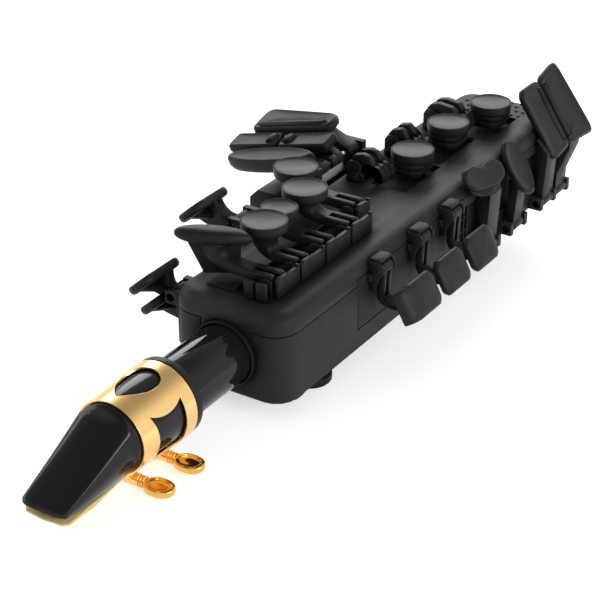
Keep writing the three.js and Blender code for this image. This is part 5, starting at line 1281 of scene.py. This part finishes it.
def beak_sections(sizes):
    """Rings of the beak from the round barrel to the tip: a crowned top, two ridges, bowed
    flanks and the flat table that the reed lies on."""
    front = -58.6 * MM
    radius = sizes.barrel_radius
    length = sizes.tip_reach + front
    arc_steps, flank_steps, floor_steps = 20, 18, 10
    ridge_half, table_half = 10.3 * MM, 7.1 * MM
    ridge_start = math.asin(ridge_half / radius)
    sections = []
    shares = [0, 0.008, 0.02, 0.04, 0.065, 0.1]
    shares += [0.14 + 0.84 * i / 22 for i in range(23)] + [0.992, 1]
    for share in shares:
        blend = min(1.0, share / 0.1)
        blend = blend * blend * (3 - 2 * blend)
        half = sizes.tip_half_width + (ridge_half - sizes.tip_half_width) * (1 - share) ** 1.1
        ridge = (8.5 + 10.3 * (1 - share)) * MM
        crest = (8.8 + 15.4 * (1 - share) ** 1.12) * MM
        table = (5.4 if share < 0.3 else 5.4 + 1.9 * ((share - 0.3) / 0.7) ** 2) * MM
        low_half = table_half + (sizes.tip_half_width - table_half) * share
        wide = radius + (sizes.tip_half_width * 1.02 - radius) * share
        close = 0.35 * MM * max(0.0, (share - 0.98) / 0.02) ** 2
        side = []
        for i in range(arc_steps + 1):
            part = i / arc_steps
            angle = ridge_start * part
            barrel = Vector((radius * math.sin(angle), BORE_HEIGHT + radius * math.cos(angle)))
            lean = crest - (crest - ridge) * part**2.5
            beak = Vector((half * math.sin(part * math.pi / 2) ** 0.85, lean))
            side.append(barrel.lerp(beak, blend))
        floor_angle = math.pi - math.asin(table_half / radius)
        for i in range(1, flank_steps + 1):
            part = i / flank_steps
            angle = ridge_start + (floor_angle - ridge_start) * part
            barrel = Vector((radius * math.sin(angle), BORE_HEIGHT + radius * math.cos(angle)))
            bow = Vector((wide + 0.9 * MM * (1 - share), ridge + (table - ridge) * 0.42))
            start, stop = Vector((half, ridge)), Vector((low_half, table))
            beak = start.lerp(bow, part).lerp(bow.lerp(stop, part), part)
            side.append(barrel.lerp(beak, blend))
        for i in range(1, floor_steps + 1):
            side.append(Vector((side[arc_steps + flank_steps].x * (1 - i / floor_steps), table)))
        ring = []
        for sign, points in ((1, side[:-1]), (-1, side[:0:-1])):
            for point in points:
                corner = 0.9 * MM * abs(point.x / sizes.tip_half_width) ** 6 * share**6
                y = sign * max(0.0, point.x - close)
                z = max(table + close * 0.4, point.y - close)
                ring.append(Vector((BODY_FRONT + front - length * share + corner, y, z)))
        sections.append(ring)
    return sections


class CONTROLLER_OT_mouthpiece(bpy.types.Operator):
    """Mouthpiece: polished barrel, beak and shank, satin rim ring, and the socket collar"""

    bl_idname = "controller.mouthpiece"
    bl_label = "Mouthpiece"

    def execute(self, context):
        sizes = context.scene.controller_mouthpiece
        axis = Vector((BODY_FRONT, 0, BORE_HEIGHT))
        radius = sizes.barrel_radius / MM
        beak = skinned(beak_sections(sizes))
        finished("mouthpiece_beak", beak, "polished ebonite", "mouthpiece", [])
        # Profile, rounding, material, and the nodes that the turned piece stands for
        turned_pieces = {
            "mouthpiece_barrel": (
                [(0, -58.65), (radius, -58.65), (12.2, -33), (0, -33)],
                0.12, "polished ebonite", ["mouthpiece"],
            ),
            "mouthpiece_rim": (
                [
                    (0, -33.02), (12.2, -33.02), (13, -32.6), (13, -30.1), (11.6, -29.6),
                    (9.8, -29.55),
                ],
                0.3, "satin ebonite", [],
            ),
            "mouthpiece_shank": (
                [
                    (0, -29.6), (9.8, -29.6), (9.8, -28.4), (10.3, -28), (10.3, 4.6), (7.2, 4.6),
                    (7.2, -10),
                ],
                0.3, "polished ebonite", [],
            ),
        }
        for name, (profile, edge, material, nodes) in turned_pieces.items():
            form = lathe(profile, axis, edge)
            finished(name, form, material, "mouthpiece", nodes)
        collar = [
            (3.7, 6.7), (3.7, 5.2), (10.6, 5.2), (10.6, -1.6), (11.2, -1.6), (11.2, 6.8),
            (3.7, 6.8),
        ]
        key_piece("socket_ring", [lathe(collar, axis, 0.2)], "body", ["socket_collar"])
        return {"FINISHED"}


class CONTROLLER_OT_reed(bpy.types.Operator):
    """Cane reed, flat on the table and thin at the tip"""

    bl_idname = "controller.reed"
    bl_label = "Reed"

    def execute(self, context):
        dress("reed", "reed cane", 0.12 * MM)
        return {"FINISHED"}


def quadratic(start, control, stop, steps=14):
    """Points of a curve from start up to, and without, stop."""
    first, bend, last = Vector(start), Vector(control), Vector(stop)
    shares = [i / steps for i in range(steps)]
    return [first.lerp(bend, t).lerp(bend.lerp(last, t), t) for t in shares]


# The band: start and length on x, radii at its ends, and the roll that its sheet is measured on
BAND_START, BAND_LENGTH = -58, 24.6
FRONT_RADIUS, REAR_RADIUS = 12.3, 13.3
SHEET_RADIUS = 12.8
SCREW_AXIS_Z = -1


def band_place(share):
    """A place on x, as a share of the band's length."""
    return BAND_START + BAND_LENGTH * share


def band_radius(x):
    """Outside radius of the band at x, in millimetres from the body's front face."""
    return FRONT_RADIUS + (REAR_RADIUS - FRONT_RADIUS) * (x - BAND_START) / BAND_LENGTH


def band_windows():
    """Outlines of the drop on top and the two side windows, as x and arc length on the sheet."""
    half = BAND_LENGTH * 0.24
    tail, neck, waist_x, nose = (band_place(share) for share in (0.14, 0.36, 0.6, 0.84))
    drop = (
        quadratic((tail, 0), (neck, -half), (waist_x, -half))
        + quadratic((waist_x, -half), (nose, -half), (nose, 0))
        + quadratic((nose, 0), (nose, half), (waist_x, half))
        + quadratic((waist_x, half), (neck, half), (tail, 0))
    )
    high, low = BAND_LENGTH * 0.3, -BAND_LENGTH * 0.34
    front, back, waist = (band_place(share) for share in (0.24, 0.8, 0.34))
    side = (
        quadratic((front, high), ((front + back) / 2, high / 2), (back, high))
        + quadratic((back, high), (back, (high + low) / 2), (back, low), 4)
        + quadratic((back, low), ((front + back) / 2, low), (front, low), 4)
        + quadratic((front, low), (waist, 0), (front, high))
    )
    loops = [[(p.x, math.asin(p.y / band_radius(p.x)) * SHEET_RADIUS) for p in drop]]
    for sign in (-1, 1):
        loops.append([(p.x, sign * math.acos(p.y / band_radius(p.x)) * SHEET_RADIUS) for p in side])
    return loops


def band_sheet():
    """The band cut flat with its windows, rolled to a cone and given its thickness."""
    shape = bmesh.new()
    end, rear = (math.pi - 0.07) * SHEET_RADIUS, band_place(1)
    loops = [[(BAND_START, -end), (rear, -end), (rear, end), (BAND_START, end)], *band_windows()]
    for points in loops:
        ring = [shape.verts.new((x, arc, 0)) for x, arc in points]
        for pair in zip(ring, ring[1:] + ring[:1]):
            shape.edges.new(pair)
    bmesh.ops.triangle_fill(shape, use_beauty=True, use_dissolve=False, edges=shape.edges)
    for step in range(-48, 49):
        everything = [*shape.verts, *shape.edges, *shape.faces]
        line = (0, end * step / 49, 0)
        bmesh.ops.bisect_plane(shape, geom=everything, plane_co=line, plane_no=(0, 1, 0))
    for vert in shape.verts:
        angle = vert.co.y / SHEET_RADIUS
        reach = band_radius(vert.co.x)
        x, y, z = vert.co.x, reach * math.sin(angle), reach * math.cos(angle)
        vert.co = body_point(x, y, z) + Vector((0, 0, BORE_HEIGHT))
    bmesh.ops.recalc_face_normals(shape, faces=shape.faces)
    bmesh.ops.solidify(shape, geom=shape.faces, thickness=0.6 * MM)
    axis = Vector((0, 0, BORE_HEIGHT))
    reach = max((Vector((0, v.co.y, v.co.z)) - axis).length for v in shape.verts)
    spare = reach - REAR_RADIUS * MM
    if spare > 0.1 * MM:
        for vert in shape.verts:
            out = Vector((0, vert.co.y, vert.co.z)) - axis
            vert.co -= out.normalized() * spare
    return shape


def clamp(x):
    """One screw clamp under the band: a barrel split in the middle, on two feet."""
    middle = body_point(x, 0, SCREW_AXIS_Z)
    forms = []
    for sign in (-1, 1):
        near, far = sign * 0.9, sign * 6.4
        tube = [(1.15, near), (2, near), (2, far), (1.15, far), (1.15, near)]
        forms.append(lathe(tube, middle, 0.25, "Y", 40))
        foot = bmesh.new()
        bmesh.ops.create_cube(foot, size=1.0)
        bmesh.ops.scale(foot, verts=foot.verts, vec=Vector((4.4, 3.1, 3.1)) * MM)
        bmesh.ops.translate(foot, verts=foot.verts, vec=body_point(x, sign * 2.45, 0.75))
        soften(foot, 0.3 * MM)
        forms.append(foot)
    return forms


def thumb_screw(x):
    """Shaft, grooved neck and an oval spoon head with a raised rim."""
    middle = body_point(x, 0, SCREW_AXIS_Z)
    shaft = [(0, 7), (1.1, 7), (1.1, -8.2), (0, -8.2)]
    neck = [
        (1.0, -6.5), (1.9, -6.5), (1.9, -7.1), (1.5, -7.25), (1.5, -7.45), (1.9, -7.6),
        (1.9, -8.2), (1.0, -8.3),
    ]
    rings = [
        (0.04, 0.62), (0.3, 0.66), (0.52, 0.62), (0.66, 0.5), (0.74, 0.3), (0.79, 0.1),
        (0.84, 0.01), (0.9, 0), (0.95, 0.08), (0.985, 0.24), (1, 0.5), (1, 1.7), (0.985, 2.0),
        (0.94, 2.25), (0.85, 2.38), (0.6, 2.4), (0.05, 2.4),
    ]
    centre = body_point(x, -13.1, 0.2)
    sections = []
    for share, drop in rings:
        section = []
        for i in range(72):
            angle = FULL_TURN * i / 72
            across = squared(math.cos(angle), 0.9) * 3.7 * share
            along = squared(math.sin(angle), 0.86) * 5.05 * share
            section.append(centre + Vector((across, along, -drop)) * MM)
        sections.append(section)
    forms = [lathe(shaft, middle, 0.25, "Y", 40), lathe(neck, middle, 0.2, "Y", 48)]
    return merged(*forms, skinned(sections))


class CONTROLLER_OT_ligature(bpy.types.Operator):
    """Split band with its windows, and the two thumb screws"""

    bl_idname = "controller.ligature"
    bl_label = "Ligature"

    def execute(self, context):
        places = [band_place(share) for share in (0.2, 0.8)]
        clamps = [form for x in places for form in clamp(x)]
        finished(
            "ligature_band", merged(band_sheet(), *clamps), "gold plate", "mouthpiece",
            ["ligature"],
        )
        for end, x in zip(("front", "rear"), places):
            node = "ligature_screw_" + end
            body = frame["nodes"][node]["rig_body"]
            finished("thumb_screw_" + end, thumb_screw(x), "screw plate", body, [node])
        return {"FINISHED"}


class CONTROLLER_OT_inside(bpy.types.Operator):
    """Air tube, breath sensor, circuit board, battery and speaker"""

    bl_idname = "controller.inside"
    bl_label = "Inside"

    def execute(self, context):
        dress("air_tube", "nickel", 0.1 * MM)
        dress("breath_sensor", "dark plastic and painted shade", 0.2 * MM)
        dress("circuit_board", "solder mask", 0.2 * MM)
        dress("battery", "cell wrap", 0.6 * MM)
        dress("speaker", "nickel", 0.2 * MM)
        return {"FINISHED"}


def white_rays(tree):
    """Camera or transmission rays, glossy rays, and any of them, as sockets."""
    path = tree.nodes.new("ShaderNodeLightPath")
    through, glossy = path.outputs["Is Transmission Ray"], path.outputs["Is Glossy Ray"]
    clear = maths(tree, "MAXIMUM", path.outputs["Is Camera Ray"], through)
    return clear, glossy, maths(tree, "MAXIMUM", clear, glossy)


def studio_floor(name):
    """White floor that fades into the background and keeps the shadow."""
    made, tree, surface, _ = blank_material(name)
    surface.inputs["Base Color"].default_value = (0.9, 0.9, 0.9, 1)
    surface.inputs["Roughness"].default_value = 0.9
    surface.inputs["Specular IOR Level"].default_value = 0.0
    _, _, seen = white_rays(tree)
    surface.inputs["Emission Color"].default_value = (1, 1, 1, 1)
    tree.links.new(maths(tree, "MULTIPLY", seen, 0.55), surface.inputs["Emission Strength"])
    back = tree.nodes.new("ShaderNodeNewGeometry")
    clear = tree.nodes.new("ShaderNodeBsdfTransparent")
    both = tree.nodes.new("ShaderNodeMixShader")
    tree.links.new(back.outputs["Backfacing"], both.inputs["Fac"])
    tree.links.new(surface.outputs["BSDF"], both.inputs[1])
    tree.links.new(clear.outputs["BSDF"], both.inputs[2])
    tree.links.new(both.outputs["Shader"], tree.nodes["Material Output"].inputs["Surface"])
    return made


def soft_lamp(name, place, aim, width, height, power):
    """A rectangular softbox that looks at a point."""
    data = bpy.data.lights.new(name, "AREA")
    data.shape = "RECTANGLE"
    data.size, data.size_y = width, height
    data.energy = power
    lamp = bpy.data.objects.new(name, data)
    bpy.context.scene.collection.objects.link(lamp)
    lamp.location = place
    lamp.rotation_euler = (Vector(aim) - Vector(place)).to_track_quat("-Z", "Y").to_euler()


class CONTROLLER_OT_stage(bpy.types.Operator):
    """Pale floor, soft lamps and the camera"""

    bl_idname = "controller.stage"
    bl_label = "Stage"

    def execute(self, context):
        scene = context.scene
        settings = scene.controller_stage
        shape = bmesh.new()
        bmesh.ops.create_grid(shape, x_segments=8, y_segments=8, size=3.0)
        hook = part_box("thumb_hook")
        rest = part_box("thumb_rest")
        drop = math.atan2(rest[0].z - hook[0].z, hook[0].x - (rest[0].x + rest[1].x) / 2)
        level = Matrix.Rotation(drop, 3, "Y")
        bmesh.ops.rotate(shape, verts=shape.verts, cent=(0, 0, 0), matrix=level)
        bmesh.ops.translate(shape, verts=shape.verts, vec=(hook[0].x, 0, hook[0].z - 0.1 * MM))
        mesh = bpy.data.meshes.new("studio_floor")
        shape.to_mesh(mesh)
        shape.free()
        floor = bpy.data.objects.new("studio_floor", mesh)
        mesh.materials.append(studio_floor("studio floor"))
        scene.collection.objects.link(floor)

        world = bpy.data.worlds.new("studio")
        scene.world = world
        world.use_nodes = True
        tree = world.node_tree
        sky = tree.nodes["Background"]
        sky.inputs["Color"].default_value = (1, 1, 1, 1)
        clear, glossy, seen = white_rays(tree)
        place = tree.nodes.new("ShaderNodeTexCoord")
        parts = tree.nodes.new("ShaderNodeSeparateXYZ")
        tree.links.new(place.outputs["Generated"], parts.inputs["Vector"])
        ceiling = add(
            tree, "ShaderNodeMapRange", interpolation_type="SMOOTHSTEP", From_Min=0.45,
            From_Max=0.9, To_Min=1.0, To_Max=0.25,
        )
        tree.links.new(parts.outputs["Z"], ceiling.inputs["Value"])
        mirrored = maths(tree, "MULTIPLY", glossy, ceiling.outputs["Result"])
        shown = maths(tree, "MAXIMUM", mirrored, clear)
        plain = maths(tree, "MULTIPLY", maths(tree, "SUBTRACT", 1.0, seen), settings.sky_strength)
        tree.links.new(maths(tree, "ADD", shown, plain), sky.inputs["Strength"])

        aim = (0, 0, 0.02)
        power = settings.lamp_power
        soft_lamp("lamp_back", (0.95, 0.55, 0.62), aim, 1.1, 0.5, power)
        soft_lamp("lamp_left", (-0.35, 1.1, 0.5), aim, 0.8, 0.5, power * 0.4)
        soft_lamp("lamp_right", (-0.1, -1.1, 0.4), aim, 0.9, 0.35, power * 0.85)

        data = bpy.data.cameras.new("camera")
        data.lens = settings.lens
        data.sensor_width = 36
        data.clip_start, data.clip_end = 0.01, 20
        camera = bpy.data.objects.new("camera", data)
        scene.collection.objects.link(camera)
        camera.location = (-0.488148, -0.280728, 0.295331)
        camera.rotation_euler = [math.radians(a) for a in (61.29727, 0.29390, -57.15832)]
        scene.camera = camera
        scene.view_settings.view_transform = "Standard"
        return {"FINISHED"}


class CONTROLLER_PT_sidebar(bpy.types.Panel):
    """Lists the pieces, sizes and colours of the controller"""

    bl_label = "Wind controller"
    bl_space_type = "VIEW_3D"
    bl_region_type = "UI"
    bl_category = "Controller"

    def draw(self, context):
        for operator, label in controller_panel_rows():
            self.layout.operator(operator, text=label)
        for _, holder in SETTINGS:
            group = getattr(context.scene, holder)
            for name in group.__annotations__:
                self.layout.prop(group, name)


SETTINGS = [
    (ControllerFinish, "controller_finish"),
    (ControllerMouthpiece, "controller_mouthpiece"),
    (ControllerTouches, "controller_touches"),
    (ControllerStage, "controller_stage"),
]
OPERATORS = [
    CONTROLLER_OT_body,
    CONTROLLER_OT_keys,
    CONTROLLER_OT_touches,
    CONTROLLER_OT_palm_keys,
    CONTROLLER_OT_left_hand,
    CONTROLLER_OT_right_hand,
    CONTROLLER_OT_side_panel,
    CONTROLLER_OT_mouthpiece,
    CONTROLLER_OT_reed,
    CONTROLLER_OT_ligature,
    CONTROLLER_OT_inside,
    CONTROLLER_OT_stage,
]


def register():
    for group, holder in SETTINGS:
        bpy.utils.register_class(group)
        setattr(bpy.types.Scene, holder, bpy.props.PointerProperty(type=group))
    for item in [*OPERATORS, CONTROLLER_PT_sidebar]:
        bpy.utils.register_class(item)


def unregister():
    for item in reversed([*OPERATORS, CONTROLLER_PT_sidebar]):
        bpy.utils.unregister_class(item)
    for group, holder in reversed(SETTINGS):
        delattr(bpy.types.Scene, holder)
        bpy.utils.unregister_class(group)


def main():
    register()
    for operator, _ in controller_panel_rows():
        family, name = operator.split(".")
        getattr(getattr(bpy.ops, family), name)()


if __name__ == "__main__":
    main()
